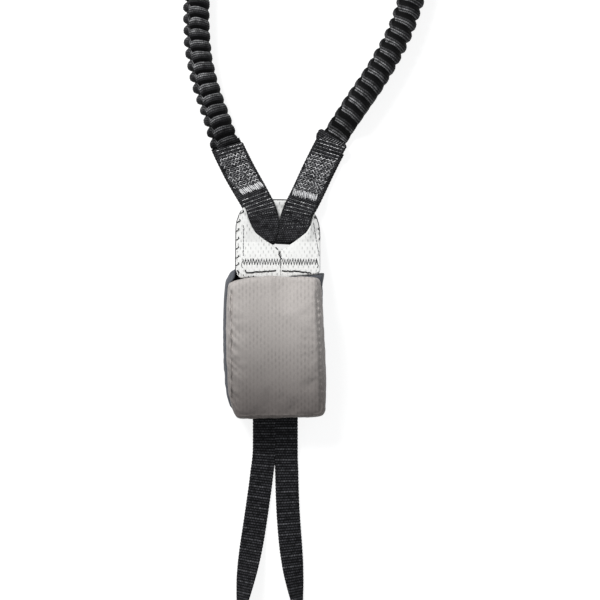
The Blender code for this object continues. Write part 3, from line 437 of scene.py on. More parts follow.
core = {"radius": 0.0056, "rounding": 0.0004, "inset": 0.008, "around": 24, "steps": 140}


def sleeveStart(side):
    return arm["loopLength"][side] - arm["plyCover"]


def pressedHeight(along, end, low, up):
    flatFrom = end + arm["plyCover"]
    roundFrom = flatFrom + arm["pressedOpening"]
    fullness = easeStep(along, flatFrom, roundFrom)
    opening = easeStep(along, (flatFrom + roundFrom) / 2, roundFrom)
    floor = low + (arm["floorGap"] - low) * opening
    thickness = arm["pressedThickness"] + (2 * sleeve["crest"] - arm["pressedThickness"]) * fullness
    return floor + (up - arm["floorGap"]) / (2 * sleeve["crest"]) * thickness


# A point of the sleeve, given as along, across and up from its middle line, laid where the ends are pressed flat.
def laySleeve(side, along, across, up):
    start, end = sleeveStart(side), arm["sleeveEnd"]
    opened = easeStep(min(along - start, end - along), arm["plyCover"], 2 * arm["pressedOpening"])
    flare = arm["pressedFlare"][side] * (1 - opened)
    aside = sleeve["aside"][side] + sleeve["pressedAside"][side] * (1 - easeStep(along - start, *arm["asideRun"]))
    up = arm["floorGap"] + sleeve["crest"] + up
    lift = arm["webThickness"] / 2 + arm["seatGap"]
    if along < (start + end) / 2:
        up = pressedHeight(along, start, arm["plyHeight"] + lift, up)
    else:
        up = pressedHeight(-along, -end, arm["endPlyHeight"] + lift, up)
    return armRoutes[side].lay(along, across * (1 + flare / sleeve["crest"]) + aside, up)


def sleeveRing(side, along, radius, around):
    turns = [2 * math.pi * index / around for index in range(around)]
    return [laySleeve(side, along, radius * math.cos(turn), radius * math.sin(turn)) for turn in turns]


def ringUvs(along, radius, around):
    return [(index / around * 2 * math.pi * radius, along) for index in range(around + 1)]


# How deep the valleys cut into the tube's two sides, next to those on its top.
def notchGain(side, along, across):
    first, last = sleeve["sideNotch"][side][0 if across > 0 else 1]
    gain = first + (last - first) * easeStep(along, *sleeve["notchTurnsAt"])
    return 1 + (gain - 1) * easeStep(abs(across), *sleeve["notchAcross"])


# The ribs arch over the tube, and its folded edge is a row of lobes of its own, half a rib further on.
def ribShift(side, along, across):
    turned, nubFrom = easeStep(along, *sleeve["skewTurnsAt"]), sleeve["nubFrom"][side]
    nubShift, fallRight = [
        start + (end - start) * turned for start, end in (sleeve["nubShift"][side], sleeve["fallRight"][side])
    ]
    nub = easeStep(across, *(nubFrom + edge for edge in sleeve["nubEdge"]))
    toLeft, toRight = max(0.0, min(across, nubFrom) - sleeve["archAt"]), max(0.0, sleeve["archAt"] - across)
    return nubShift * nub - sleeve["fallLeft"][side] * toLeft ** 2 - fallRight * toRight ** 2


def makeSleeve(side, material):
    start, end, nubFrom = sleeveStart(side), arm["sleeveEnd"], sleeve["nubFrom"][side]
    ribs, seed, around, crestAt = sleeve["ribs"][side], sleeve["seed"][side], sleeve["around"], sleeve["crestAt"]
    pitch = (end - start) / ribs
    rows, uvRows = [], []
    for step in range(ribs * sleeve["stepsPerRib"] + 1):
        along = start + pitch * step / sleeve["stepsPerRib"]
        phase = step / sleeve["stepsPerRib"] + sleeve["firstRib"][side]
        inRib, rib = phase % 1.0, int(phase)
        ends = easeStep(min(along - start, end - along), 0.0, 2 * pitch)
        toValley = inRib / crestAt if inRib < crestAt else (1 - inRib) / (1 - crestAt)
        ridge = sleeve["ridge"] * (0.5 - 0.5 * math.cos(2 * math.pi * inRib * sleeve["ridgesPerRib"]))
        ridge *= min(1.0, toValley * 2)
        row = []
        for index in range(around):
            turn = 2 * math.pi * index / around
            across, up = math.cos(turn), math.sin(turn)
            wobble = noiseAt(across * 0.9, up * 0.9, phase * 0.9 + seed)
            lump = noiseAt(across * 1.3 + seed, up * 1.3, rib * 0.77)
            shift = ribShift(side, along, across) + wobble * 2 * sleeve["unevenness"]
            depth = sleeve["depth"] * notchGain(side, along, across) * (1 - toValley) ** sleeve["valleySharpness"]
            groove = sleeve["grooveDepth"] * math.exp(-((across - nubFrom) / sleeve["grooveWidth"]) ** 2)
            radius = sleeve["crest"] - sleeve["ridge"] - (depth + groove) + ridge
            radius += lump * sleeve["unevenness"] * toValley
            row.append(laySleeve(side, along + shift * ends, radius * across, radius * up))
        rows.append(row)
        mirrored = 1 if side == "left" else -1
        uvRows.append(ringUvs(mirrored * phase * sleeve["ribLength"], sleeve["crest"], around))
    build = Build()
    build.skin(rows, uvRows, closed=True)
    last = len(build.verts) - around
    stations = [start + (end - start) * step / (ribs * 2) for step in range(ribs * 2 + 1)]
    bore = build.skin(
        [sleeveRing(side, along, sleeve["bore"], around) for along in stations],
        [ringUvs(along, sleeve["bore"], around) for along in stations], closed=True,
    )
    for outer, hole in ((0, bore), (last, len(build.verts) - around)):
        for index in range(around):
            after = (index + 1) % around
            build.cap((outer + index, outer + after, hole + after, hole + index))
    return addPiece(f"armSleeve.{side}", build, material, replaced=[f"arm_sleeve_{side}"])


def makeCore(side, material):
    first, last, around = sleeveStart(side) + core["inset"], arm["sleeveEnd"] - core["inset"], core["around"]
    rows, uvRows = [], []
    for step in range(core["steps"] + 1):
        along = first + (last - first) * step / core["steps"]
        rounding = core["rounding"] * (step in (0, core["steps"]))
        rows.append(sleeveRing(side, along, core["radius"] - rounding, around))
        uvRows.append(ringUvs(along, core["radius"], around))
    addTube(f"elasticCore.{side}", rows, uvRows, material, replaced=[f"elastic_core_{side}"])


# The line of a sewn loop seen from its side, as lengths from its bight and heights.
def loopLine(length, bightHeight, bightRadius, lowHeight, highRun, drop, sleeveAt):
    upper, high = lowHeight + arm["plyStep"], bightHeight + bightRadius
    points = [(length - arm["plyShortEnd"], lowHeight), (bightRadius + drop, lowHeight)]
    for step in range(arm["bightSteps"] + 1):
        turn = math.radians(-90 - 180 * step / arm["bightSteps"])
        points.append((bightRadius + bightRadius * math.cos(turn), bightHeight + bightRadius * math.sin(turn)))
    points.append((highRun, high))
    for share in (0.25, 0.5, 0.75, 1.0):
        points.append((highRun + drop * share, high + (upper - high) * easeStep(share, 0, 1)))
    points.append((sleeveAt - arm["plyLead"], upper))
    low, up = lowHeight + arm["webThickness"] / 2 + arm["seatGap"], arm["floorGap"] + 2 * sleeve["crest"]
    for step in range(arm["coverSteps"] + 1):
        along = sleeveAt + (length - sleeveAt) * step / arm["coverSteps"]
        crest = pressedHeight(along, sleeveAt, low, up)
        points.append((along, crest + arm["plyRoom"] + arm["webThickness"] / 2))
    return points


def evenLine(points, spacing, passes):
    points = [Vector(point) for point in points]
    line, left = [points[0]], spacing
    for before, after in zip(points, points[1:]):
        run, done = (after - before).length, 0.0
        while run - done > left:
            done += left
            line.append(before + (after - before) * (done / run))
            left = spacing
        left -= run - done
    line.append(points[-1])
    for _ in range(passes):
        line = [line[0]] + [(a + b * 2 + c) / 4 for a, b, c in zip(line, line[1:], line[2:])] + [line[-1]]
    return line


strap = {
    "flatColumns": 14, "edgeSteps": 4, "selvedge": 0.00014, "selvedgePitch": 0.0024, "spacing": 0.0007,
    "smoothing": 2, "wave": 0.00012,
}


# A strap swept along a line of lengths and heights. Its put turns along, across, up and the share of the line
# into a point, and its widen gives what the strap is wider by to the left and to the right.
def addStrap(name, line, width, thickness, put, material, widen=None, seed=0.0, **piece):
    line = evenLine(line, strap["spacing"], strap["smoothing"])
    reach, rows, uvRows = 0.0, [], []
    half, edge = width / 2, thickness / 2
    for index, point in enumerate(line):
        before, after = line[max(index - 1, 0)], line[min(index + 1, len(line) - 1)]
        reach += (point - before).length
        ahead = (after - before).normalized()
        out = Vector((-ahead.y, ahead.x))
        scallop = strap["selvedge"] * (math.cos(2 * math.pi * reach / strap["selvedgePitch"]) - 1)
        share = index / (len(line) - 1)
        grow = widen(point.x, share) if widen else (0.0, 0.0)
        section = []
        for column in range(strap["flatColumns"] + 1):
            section.append(((half - edge) * (1 - 2 * column / strap["flatColumns"]), edge))
        for step in range(1, strap["edgeSteps"]):
            turn = math.pi / 2 - math.pi * step / strap["edgeSteps"]
            section.append((-(half - edge) - (edge + scallop) * math.cos(turn), edge * math.sin(turn)))
        section += [(-across, -up) for across, up in section]
        row = []
        for across, up in section:
            wide = across * (1 + grow[0 if across > 0 else 1] / half)
            swell = strap["wave"] * noiseAt(across * 90, reach * 110, seed)
            row.append(put(point.x + out.x * up, wide, point.y + out.y * up + swell, share))
        rows.append(row)
        uvRows.append([(across, reach) for across, _ in [*section, section[0]]])
    return addTube(name, rows, uvRows, material, **piece)


# The loop that hangs on the white eye. Its back ply shows along the outer side, and its sewn end is cut askew.
eyeLoop = {
    "upperEnd": {"left": 0.0765, "right": 0.0828}, "lowerEnd": {"left": 0.0790, "right": 0.0750},
    "outward": {"left": 0.0010, "right": -0.0010}, "outwardFrom": 0.12, "upperFrom": 0.42, "liftFrom": (0.44, 0.50),
    "liftUntil": 0.99,
    "tilt": {"left": 0.14, "right": 0.04}, "rowTilt": {"left": 0.14, "right": -0.19}, "tiltRun": 0.014,
    "aside": {"left": 0.0, "right": 0.0009}, "atBight": {"left": 0.0012, "right": 0.0024},
    "bightRun": {"left": 0.012, "right": 0.015}, "bightTilt": {"left": -0.12, "right": 0.0}, "bightTiltRun": 0.012,
    "overNeighbour": {"left": 0.0009, "right": 0.0}, "neighbourAcross": (0.003, 0.0105),
    "neighbourAlong": (0.018, 0.028), "foldedCorner": {"left": (0.0, 0.0), "right": (0.0015, 0.0)},
    "foldFrom": 0.0080, "foldFull": 0.0050, "cornerRadius": {"left": 0.0012, "right": 0.0022}, "nearest": -0.004,
}


# The left loop's inner edge lies on the right loop where they meet.
def loopLift(side, along, across):
    beside = easeStep(-across, *eyeLoop["neighbourAcross"]) * (1 - easeStep(along, *eyeLoop["neighbourAlong"]))
    return eyeLoop["overNeighbour"][side] * beside


def putOnEye(side):
    look = {name: value[side] if isinstance(value, dict) else value for name, value in eyeLoop.items()}

    def put(along, across, up, share):
        aside = look["aside"] + look["atBight"] * (1 - easeStep(along, 0.0, look["bightRun"]))
        aside += look["outward"] * (1 - easeStep(share, look["outwardFrom"], look["upperFrom"]))
        if share > look["upperFrom"]:
            along += look["tilt"] * across * easeStep(along, look["upperEnd"] - look["tiltRun"], look["upperEnd"])
        along += look["bightTilt"] * across * (1 - easeStep(along, 0.0, look["bightTiltRun"]))
        if share < look["liftUntil"]:
            up += loopLift(side, along, across) * easeStep(share, *look["liftFrom"])
        return armRoutes[side].lay(max(along, look["nearest"]), across + aside, up)

    return put


def makeEyeLoop(side, material):
    upperEnd, radius = eyeLoop["upperEnd"][side], eyeLoop["cornerRadius"][side]
    line = loopLine(upperEnd, arm["archHeight"], arm["bightRadius"], arm["plyHeight"], arm["overArch"], arm["drop"],
                    sleeveStart(side))
    line[0] = (eyeLoop["lowerEnd"][side], arm["plyHeight"])

    def widen(along, share):
        if share < eyeLoop["upperFrom"]:
            return (0.0, 0.0)
        fold = easeStep(along, upperEnd - eyeLoop["foldFrom"], upperEnd - eyeLoop["foldFull"])
        cut = radius * (1 - math.sqrt(max(0.0, 1 - max(0.0, (along - upperEnd + radius) / radius) ** 2)))
        return [wide * fold - cut for wide in eyeLoop["foldedCorner"][side]]

    piece = addStrap(f"eyeLoop.{side}", line, arm["webWidth"], arm["webThickness"], putOnEye(side), material,
                     widen=widen, seed=len(side), replaced=[f"eye_loop_{side}"])
    return piece, line


def putOnBar(side):
    return lambda along, across, up, share: armRoutes[side].lay(arm["length"] + arm["barBight"] - along, across, up)


def makeEndLoop(side, material):
    reach = arm["barBight"]
    line = loopLine(arm["endLoop"] + reach, arm["carabinerHeight"], reach, arm["endPlyHeight"],
                    arm["overBar"] + reach, arm["endDrop"], arm["endLoop"] + reach - arm["plyCover"])
    piece = addStrap(f"carabinerLoop.{side}", line, arm["webWidth"], arm["webThickness"], putOnBar(side), material,
                     seed=5 + len(side), replaced=[f"carabiner_loop_{side}"])
    return piece, line


keeper = {
    "wall": 0.0014, "gap": 0.0006, "length": 0.0080, "fromBar": 0.0210, "ribs": 4, "ribDepth": 0.0002,
    "steps": 24, "outerCorner": 0.0014, "innerCorner": 0.0004, "innerSteps": 8, "cornerSteps": 4,
    "endThinner": 0.45, "endPower": 6,
}


def makeKeeper(side, material):
    half = arm["webWidth"] / 2 + keeper["gap"]
    low = arm["endPlyHeight"] - arm["webThickness"] / 2 - arm["seatGap"]
    high = arm["endPlyHeight"] + arm["plyStep"] + arm["webThickness"] / 2 + arm["seatGap"]
    start = arm["length"] - keeper["fromBar"] - keeper["length"]

    def ring(share, grow, corner):
        row = []
        for x, z, first in ((half, high, 0), (-half, high, 90), (-half, low, 180), (half, low, 270)):
            centreX = math.copysign(half + grow - corner, x)
            centreZ = (high + grow - corner) if z == high else (low - grow + corner)
            for step in range(keeper["cornerSteps"] + 1):
                turn = math.radians(first + 90 * step / keeper["cornerSteps"])
                across, up = centreX + corner * math.cos(turn), centreZ + corner * math.sin(turn)
                row.append(armRoutes[side].lay(start + keeper["length"] * share, across, up))
        return row

    rows = []
    for step in range(keeper["steps"] + 1):
        share = step / keeper["steps"]
        ribs = keeper["ribDepth"] * (0.5 + 0.5 * math.cos(2 * math.pi * share * keeper["ribs"]))
        thinner = keeper["endThinner"] * (2 * abs(share - 0.5)) ** keeper["endPower"]
        wall = keeper["wall"] * (1 - thinner) - ribs
        rows.append(ring(share, wall, keeper["outerCorner"]))
    for step in range(keeper["innerSteps"] + 1):
        rows.append(ring(1 - step / keeper["innerSteps"], 0.0, keeper["innerCorner"]))
    build = Build()
    build.skin([*rows, rows[0]], closed=True)
    return addPiece(f"keeper.{side}", build, material, merged=True, replaced=[f"keeper_{side}"])


sling = {
    "width": 0.0171, "thickness": 0.0022, "inward": 0.0005, "inwardUntil": (-0.092, -0.078), "mouthHeight": 0.0085,
    "onEdge": (0.1250, 0.2160), "mouth": (0.0490, 0.0800), "steps": 300, "pathSteps": 120,
    "route": [
        (-8.1, -40.5), (-8.1, -52), (-8.1, -64), (-8.4, -78), (-9.9, -94.4), (-12.8, -115.7), (-16, -137),
        (-19.6, -158.3), (-22.5, -176), (-24.6, -193), (-24.6, -208), (-20.8, -222), (-12.5, -231), (-2.5, -233.5),
        (7.5, -230), (14.5, -220.5), (17.5, -207), (17, -192), (15, -176), (12.8, -158.3), (10.7, -137),
        (9.2, -115.7), (8.5, -94.4), (8.5, -78), (8.5, -64), (8.5, -52), (8.5, -40.5),
    ],
}


# The sling leaves the pouch flat at its mouth and turns on edge towards its far bend.
def layOnSling(route, along, across, up):
    point, ahead = route.at(along)
    turn = math.radians(90) * easeStep(-point.y, *sling["onEdge"])
    half, thin = sling["width"] / 2, sling["thickness"] / 2
    lying = arm["floorGap"] + (half - thin) * math.sin(turn) + thin
    height = lying + (sling["mouthHeight"] - lying) * (1 - easeStep(-point.y, *sling["mouth"]))
    across += sling["inward"] * easeStep(point.y, *sling["inwardUntil"])
    across, up = across * math.cos(turn) - up * math.sin(turn), across * math.sin(turn) + up * math.cos(turn)
    return point + leftOf(ahead) * across + Vector((0, 0, up + height))


def makeSling(material):
    route, steps, pathSteps = Route(sling["route"]), sling["steps"], sling["pathSteps"]
    line = [(route.length * step / steps, 0.0) for step in range(steps + 1)]
    piece = addStrap("tieInSling", line, sling["width"], sling["thickness"],
                     lambda along, across, up, share: layOnSling(route, along, across, up), material,
                     seed=11.0, replaced=["tie_in_sling"])
    path = [layOnSling(route, route.length * step / pathSteps, 0, 0) for step in range(pathSteps + 1)]
    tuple(path[0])


# Black high-tenacity nylon, spun-dyed and woven: it swallows light, and only the floats that face a lamp show grey.
blackNylon = {
    "shader": {"Roughness": 0.66, "Specular IOR Level": 0.06, "Sheen Weight": 0.02, "Sheen Roughness": 0.4},
    "ground": "#060607", "float": "#505053", "contrast": (0.15, 0.9), "drift": 0.02, "unevenness": 0.30,
    "stagger": 0.5, "patch": 0.0040, "patchLeast": 0.25, "fuzz": 0.0011, "variation": 0.32, "rowPitch": 0.0013,
    "floatLength": 0.0017, "rowRoundness": 0.8, "floatRoundness": 0.8, "floatDepth": 0.7, "relief": 0.00018,
}
# The gathered tube: rows of grey floats painted bright as highlight in set places of each rib, brightest round the side
# of the tube that faces the key lamp, and dark cloth darkened further by the valleys as painted shade.
sleeveNylon = {}
for side, darkUntil, nub, shine in (("left", 0.24, 0.150, 0.78), ("right", 0.38, 0.100, 0.90)):
    sleeveNylon[side] = wovenMaterial(f"wovenNylonSleeve.{side}", {
        **blackNylon, "ground": "#0a0a0b", "rowPitch": sleeve["ribLength"] / sleeve["ridgesPerRib"],
        "rowRoundness": 1.4, "floatDepth": 0.6, "contrast": (-0.55, 0.9), "unevenness": 0.07,
        "ribLength": sleeve["ribLength"],
        # Painted shade over the cloth's own dark: the darkest tones, from the valley to darkUntil.
        "ribTones": (
            (0.0, "#0a0a0b"), (darkUntil, "#0d0d0e"), (darkUntil + 0.09, "#303032"), (0.62, "#3b3b3d"),
            (0.955, "#38383a"), (0.985, "#0c0c0d"), (1.0, "#0a0a0b"),
        ),
        # Painted highlight: the bright rows in each rib, and how strong they are round the tube (shine where it faces
        # the key lamp).
        "bright": {
            "colour": "#d2d2d4", "least": 0.25, "around": 2 * math.pi * sleeve["crest"],
            "inRib": (
                (0.0, 0.0), (0.42, 0.0), (0.47, 0.16), (0.53, 0.16), (0.58, 0.0), (0.64, 0.05), (0.69, 0.9),
                (0.72, 0.9), (0.77, 0.08), (0.83, 0.08), (0.88, 1.0), (0.91, 1.0), (0.96, 0.0),
            ),
            "onTube": (
                (0.0, 0.16), (nub - 0.012, 0.20), (nub + 0.012, shine), (0.23, shine * 0.85), (0.33, 0.42),
                (0.46, 0.30), (0.84, 0.30), (0.86, 0.16),
            ),
        },
    })
webbingNylon = wovenMaterial("wovenNylonWebbing", {
    **blackNylon, "rowRoundness": 0.9, "floatDepth": 0.8, "relief": 0.00020,
})
slingNylon = wovenMaterial("wovenNylonSling", {
    **blackNylon,
    "shader": {"Roughness": 0.7, "Specular IOR Level": 0.05, "Sheen Weight": 0.01, "Sheen Roughness": 0.4},
    "rowPitch": 0.0077 / 4, "floatLength": 0.0019, "patch": 0.0030, "unevenness": 0.10, "ribLength": 0.0077,
    "ribTones": (
        (0.0, "#1a1a1c"), (0.12, "#4a4a4e"), (0.25, "#161618"), (0.38, "#525256"), (0.50, "#161618"),
        (0.62, "#4c4c50"), (0.75, "#18181a"), (0.86, "#66666a"), (0.92, "#66666a"), (1.0, "#1a1a1c"),
    ),
})
# The elastic inside the tube, braided over rubber: brown-black, with a matt criss-cross.
elasticRubber = wovenMaterial("braidedElasticCord", {
    **blackNylon, "ground": "#2a2825", "float": "#4c4843", "rowPitch": 0.0012, "floatLength": 0.0012,
    "relief": 0.00015,
})
# Moulded rubber: matt black, with the mould's fine grain.
keeperRubber = plainMaterial(
    "mouldedRubber", "#161617", {"Roughness": 0.62, "Specular IOR Level": 0.35},
    {"mottle": 0.0006, "grain": 0.0006, "detail": 3.0, "variation": 0.15, "relief": 0.00004},
)

carabinerNodes = ("carabiner_frame", "gate", "palm_lever", "gate_pin", "lever_pin", "gate_spring", "lever_spring")
eyeLoops, endLoops = {}, {}
for side in bothSides:
    tube = makeSleeve(side, sleeveNylon[side])
    makeCore(side, elasticRubber)
    eyeLoops[side] = makeEyeLoop(side, webbingNylon)
    endLoops[side] = makeEndLoop(side, webbingNylon)
    ring = makeKeeper(side, keeperRubber)
    start, end, steps = sleeveStart(side), arm["sleeveEnd"], arm["pathSteps"]
    path = [laySleeve(side, start + (end - start) * step / steps, 0, 0) for step in range(steps + 1)]
    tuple(path[0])
print("stage: arms")

makeSling(slingNylon)
print("stage: sling")


# White eye: the doubled back with its arch and window, and two flaps in front of the arms' loops.
# Necklines and the foot are points in millimetres, height first for a neckline.
eye = {
    "centreX": 0.0020, "centreY": 0.0785, "halfWidth": 0.0306, "springLine": 0.0780, "archRise": 0.0285,
    "bottom": 0.0510, "corner": 0.0050, "shoulder": {"left": 3.0, "right": 2.6}, "thickness": 0.0036,
    "neckHalf": 0.0200, "neckEnd": 0.0395, "windowHalf": 0.0248, "windowTop": 0.0865, "windowBottom": 0.0705,
    "levelUntil": 0.0850, "mouthHeight": 0.0180, "rings": 26, "spokes": 240, "leastEdge": 0.12,
    "roll": 0.0004, "rollMiddle": 0.0029, "rollHalf": 0.0024, "rollWidth": 0.0058, "rollFrom": (0.0830, 0.0900),
    "creases": ((0.0, 0.0008, 0.0005), (0.0019, 0.0004, 0.0004)), "wrinkle": 0.0004, "wrinkleRun": 0.002,
    "innerRun": 0.003, "archSteps": 72, "cornerSteps": 6, "routePoints": 80,
}
flap = {
    "thickness": 0.0020, "slit": 0.0003, "joinedBelow": 0.0580, "necklineX": 0.0042, "riseRun": 0.0085,
    "drape": (-0.0017, 0.0002), "drapeAt": (0.0740, 0.0840), "rows": 110, "columns": 48, "footShare": 0.22,
    "pucker": 0.00014, "bulge": 0.0006, "bulgeOuter": (0.003, 0.010), "bulgeInner": (0.0, 0.006),
    "bulgeAt": (0.0625, 0.068), "leastEdge": 0.15, "leastGap": 0.0003,
    "belowTop": 0.0002, "aboveBottom": 0.0003, "top": {"left": 0.1006, "right": 0.0966},
    "neckline": {
        "left": inMetres([
            (69, 0.4), (73.7, 6.2), (77.3, 11.8), (82, 17.8), (86.5, 20.7), (92.5, 23.1), (99, 25), (100.6, 26.2),
        ]),
        "right": inMetres([(69, 0.4), (73.5, 6.2), (77, 11.3), (82.2, 18.1), (88, 21.7), (95, 23.7), (96.6, 24.4)]),
    },
    "foot": inMetres([
        (-28.6, 52), (-26.2, 50), (-24, 49.6), (-19, 49.7), (-15, 50.2), (-12.5, 49.5), (9, 49.5), (12.5, 50.8),
        (20, 51.4), (28, 52.3), (32.6, 53.4),
    ]),
}


def tableValue(table, place):
    for (low, lowValue), (high, highValue) in zip(table, table[1:]):
        if place <= high:
            return lowValue + (highValue - lowValue) * max(0.0, (place - low) / (high - low))
    return table[-1][1]


def eyeHeight(y):
    climb = easeStep(eye["levelUntil"] - y, 0, eye["levelUntil"] - eye["bottom"])
    return arm["archHeight"] + (eye["mouthHeight"] - arm["archHeight"]) * climb


# A point of the arch, at an angle from the right.
def archPoint(turn, inset=0.0):
    power = 2 / eye["shoulder"]["right" if turn < math.pi / 2 else "left"]
    across = math.copysign(abs(math.cos(turn)) ** power, math.cos(turn))
    rise = abs(math.sin(turn)) ** power
    return (eye["centreX"] + (eye["halfWidth"] - inset) * across, eye["springLine"] + (eye["archRise"] - inset) * rise)


def cornerArc(centreX, centreY, first):
    turns = [math.radians(first + 90 * step / eye["cornerSteps"]) for step in range(eye["cornerSteps"] + 1)]
    return [(centreX + eye["corner"] * math.cos(turn), centreY + eye["corner"] * math.sin(turn)) for turn in turns]


def eyeOutline():
    middle, half, neck, low = eye["centreX"], eye["halfWidth"] - eye["corner"], eye["neckHalf"], eye["bottom"]
    points = [archPoint(math.pi * step / eye["archSteps"]) for step in range(eye["archSteps"] + 1)]
    points += cornerArc(middle - half, low + eye["corner"], 180)
    points += [(middle - neck, y) for y in (low, eye["neckEnd"])] + [(middle + neck, y) for y in (eye["neckEnd"], low)]
    return points + cornerArc(middle + half, low + eye["corner"], 270)


def eyeWindow():
    middle, half = eye["centreX"], eye["windowHalf"] - eye["corner"]
    high, low = eye["windowTop"] - eye["corner"], eye["windowBottom"] + eye["corner"]
    corners = ((half, high, 0), (-half, high, 90), (-half, low, 180), (half, low, 270))
    return [point for x, y, first in corners for point in cornerArc(middle + x, y, first)]


# Where a ray from the centre at that angle leaves a closed outline.
def rayTo(outline, centre, turn):
    ahead = Vector((math.cos(turn), math.sin(turn)))
    best = None
    for start, end in zip(outline, outline[1:] + outline[:1]):
        a, b = Vector(start) - centre, Vector(end) - centre
        edge = b - a
        cross = ahead.x * edge.y - ahead.y * edge.x
        if abs(cross) < 1e-12:
            continue
        distance = (a.x * edge.y - a.y * edge.x) / cross
        share = (a.x * ahead.y - a.y * ahead.x) / cross
        if distance > 0 and -1e-6 <= share <= 1 + 1e-6 and (best is None or distance > best):
            best = distance
    return centre + ahead * best


def roundedEdge(distance, radius, least):
    if distance >= radius:
        return 1.0
    return max(least, math.sqrt(max(0.0, 1 - (1 - distance / radius) ** 2)))


# The top of the eye's back, with the rolled band of its arch and the creases below it.
def eyeBackTop(x, y, fromOuter, fromInner):
    half, width = eye["thickness"] / 2, eye["rollWidth"]
    thick = half * roundedEdge(min(fromOuter, fromInner), half, eye["leastEdge"])
    band = eye["roll"] * math.exp(-((fromOuter - eye["rollMiddle"]) / eye["rollHalf"]) ** 4)
    for further, depth, spread in eye["creases"]:
        band -= depth * math.exp(-((fromOuter - width - further) / spread) ** 2)
    folds = eye["wrinkle"] * noiseAt(x * 240, y * 700, 3.0)
    folds *= easeStep(fromOuter, width, width + eye["wrinkleRun"])
    return eyeHeight(y) + thick + (band + folds) * easeStep(y, *eye["rollFrom"]) * min(1.0, fromInner / eye["innerRun"])


def makeEyeBack(material):
    centre = Vector((eye["centreX"], eye["centreY"]))
    outer, inner = [
        [rayTo(outline, centre, 2 * math.pi * spoke / eye["spokes"]) for spoke in range(eye["spokes"])]
        for outline in (eyeOutline(), eyeWindow())
    ]
    half = eye["thickness"] / 2
    top, bottom = [], []
    for ring in range(eye["rings"] + 1):
        share = 0.5 - 0.5 * math.cos(math.pi * ring / eye["rings"])
        rowTop, rowBottom = [], []
        for a, b in zip(outer, inner):
            x, y = a + (b - a) * share
            fromOuter, fromInner = (b - a).length * share, (b - a).length * (1 - share)
            thick = half * roundedEdge(min(fromOuter, fromInner), half, eye["leastEdge"])
            rowTop.append(Vector((x, y, eyeBackTop(x, y, fromOuter, fromInner))))
            rowBottom.append(Vector((x, y, eyeHeight(y) - thick)))
        top.append(rowTop)
        bottom.append(rowBottom)
    build = Build()
    build.skin([*top, *reversed(bottom), top[0]], closed=True)
    return addPiece("eyeBack", build, material, merged=True, replaced=["eye_back"])


def eyeEdgeX(side, y):
    if y < eye["bottom"] + eye["corner"]:
        rise = (eye["bottom"] + eye["corner"] - y) / eye["corner"]
        return eye["halfWidth"] - eye["corner"] + eye["corner"] * math.sqrt(max(0.0, 1 - rise * rise))
    power = eye["shoulder"][side]
    rise = min(1.0, max(0.0, (y - eye["springLine"]) / eye["archRise"]))
    return eye["halfWidth"] * (1 - rise ** power) ** (1 / power)


# How far a point lies outside the outer edge of the arm's loop.
def outsideLoop(side, x, y):
    line = armRoutes[side].line
    best = min(range(eye["routePoints"]), key=lambda index: (line[index].x - x) ** 2 + (line[index].y - y) ** 2)
    ahead = (line[best + 1] - line[max(best - 1, 0)]).normalized()
    across = (x - line[best].x) * -ahead.y + (y - line[best].y) * ahead.x
    shift = eyeLoop["aside"][side]
    return (across - shift if side == "left" else shift - across) - arm["webWidth"] / 2


# The flap lies on the eye at its outer edge and over the loops inside it; at the shoulders it drapes over their sides.
def flapHeight(side, x, y, fromEdge):
    onEye = eyeHeight(y) + eye["thickness"] / 2
    overLoops = arm["archHeight"] + arm["bightRadius"] + arm["webThickness"] / 2
    rise = easeStep(fromEdge, 0, flap["riseRun"])
    if y > flap["drapeAt"][0]:
        rise += (1 - rise) * easeStep(-outsideLoop(side, x, y), *flap["drape"]) * easeStep(y, *flap["drapeAt"])
    return onEye + (max(onEye, overLoops) - onEye) * rise + arm["seatGap"] + flap["thickness"] / 2


def flapEdges(side, y):
    direction, neckline = -1 if side == "left" else 1, flap["neckline"][side]
    outer = eye["centreX"] + direction * eyeEdgeX(side, y)
    opening = tableValue(neckline, y) if y > neckline[0][0] else 0.0
    return outer, flap["necklineX"] + direction * (flap["slit"] / 2 + opening)


# The flap's upper side at a point of the eye.
def flapTop(side, x, y):
    outer, inner = flapEdges(side, max(y, eye["bottom"]))
    half, fromOuter, fromInner = flap["thickness"] / 2, abs(x - outer), abs(inner - x)
    if y < flap["joinedBelow"]:
        fromInner += half
    edge = min(fromOuter, fromInner, max(y - tableValue(flap["foot"], x), 0.0), max(flap["top"][side] - y, 0.0))
    crumple = noiseAt(x * 420, y * 300, len(side)) + 0.6 * noiseAt(x * 1100, y * 900, 7.0)
    soft = flap["bulge"] * easeStep(fromOuter, *flap["bulgeOuter"]) * easeStep(fromInner, *flap["bulgeInner"])
    soft *= easeStep(y, *flap["bulgeAt"])
    thick = half * roundedEdge(edge, half, flap["leastEdge"])
    return flapHeight(side, x, y, fromOuter) + soft + thick + flap["pucker"] * crumple


def makeFlap(side, material):
    tops, bottoms = [], []
    reach = flap["top"][side] - flap["belowTop"] - eye["bottom"]
    for row in range(flap["rows"] + 1):
        rise = row / flap["rows"]
        level = eye["bottom"] + reach * rise
        outer, inner = flapEdges(side, level if row else level + flap["aboveBottom"])
        top, bottom = [], []
        for column in range(flap["columns"] + 1):
            x = outer + (inner - outer) * (0.5 - 0.5 * math.cos(math.pi * column / flap["columns"]))
            fromFoot = tableValue(flap["foot"], x) - eye["bottom"]
            y = level + fromFoot * max(0.0, 1 - rise / flap["footShare"]) ** 2
            upper = flapTop(side, x, y)
            lower = min(flapHeight(side, x, y, abs(x - outer)) - flap["thickness"] / 2, upper - flap["leastGap"])
            top.append(Vector((x, y, upper)))
            bottom.append(Vector((x, y, lower)))
        tops.append(top)
        bottoms.append(bottom)
    return addSlab(f"eyeFlap.{side}", tops, bottoms, material, replaced=[f"eye_front_{side}"])


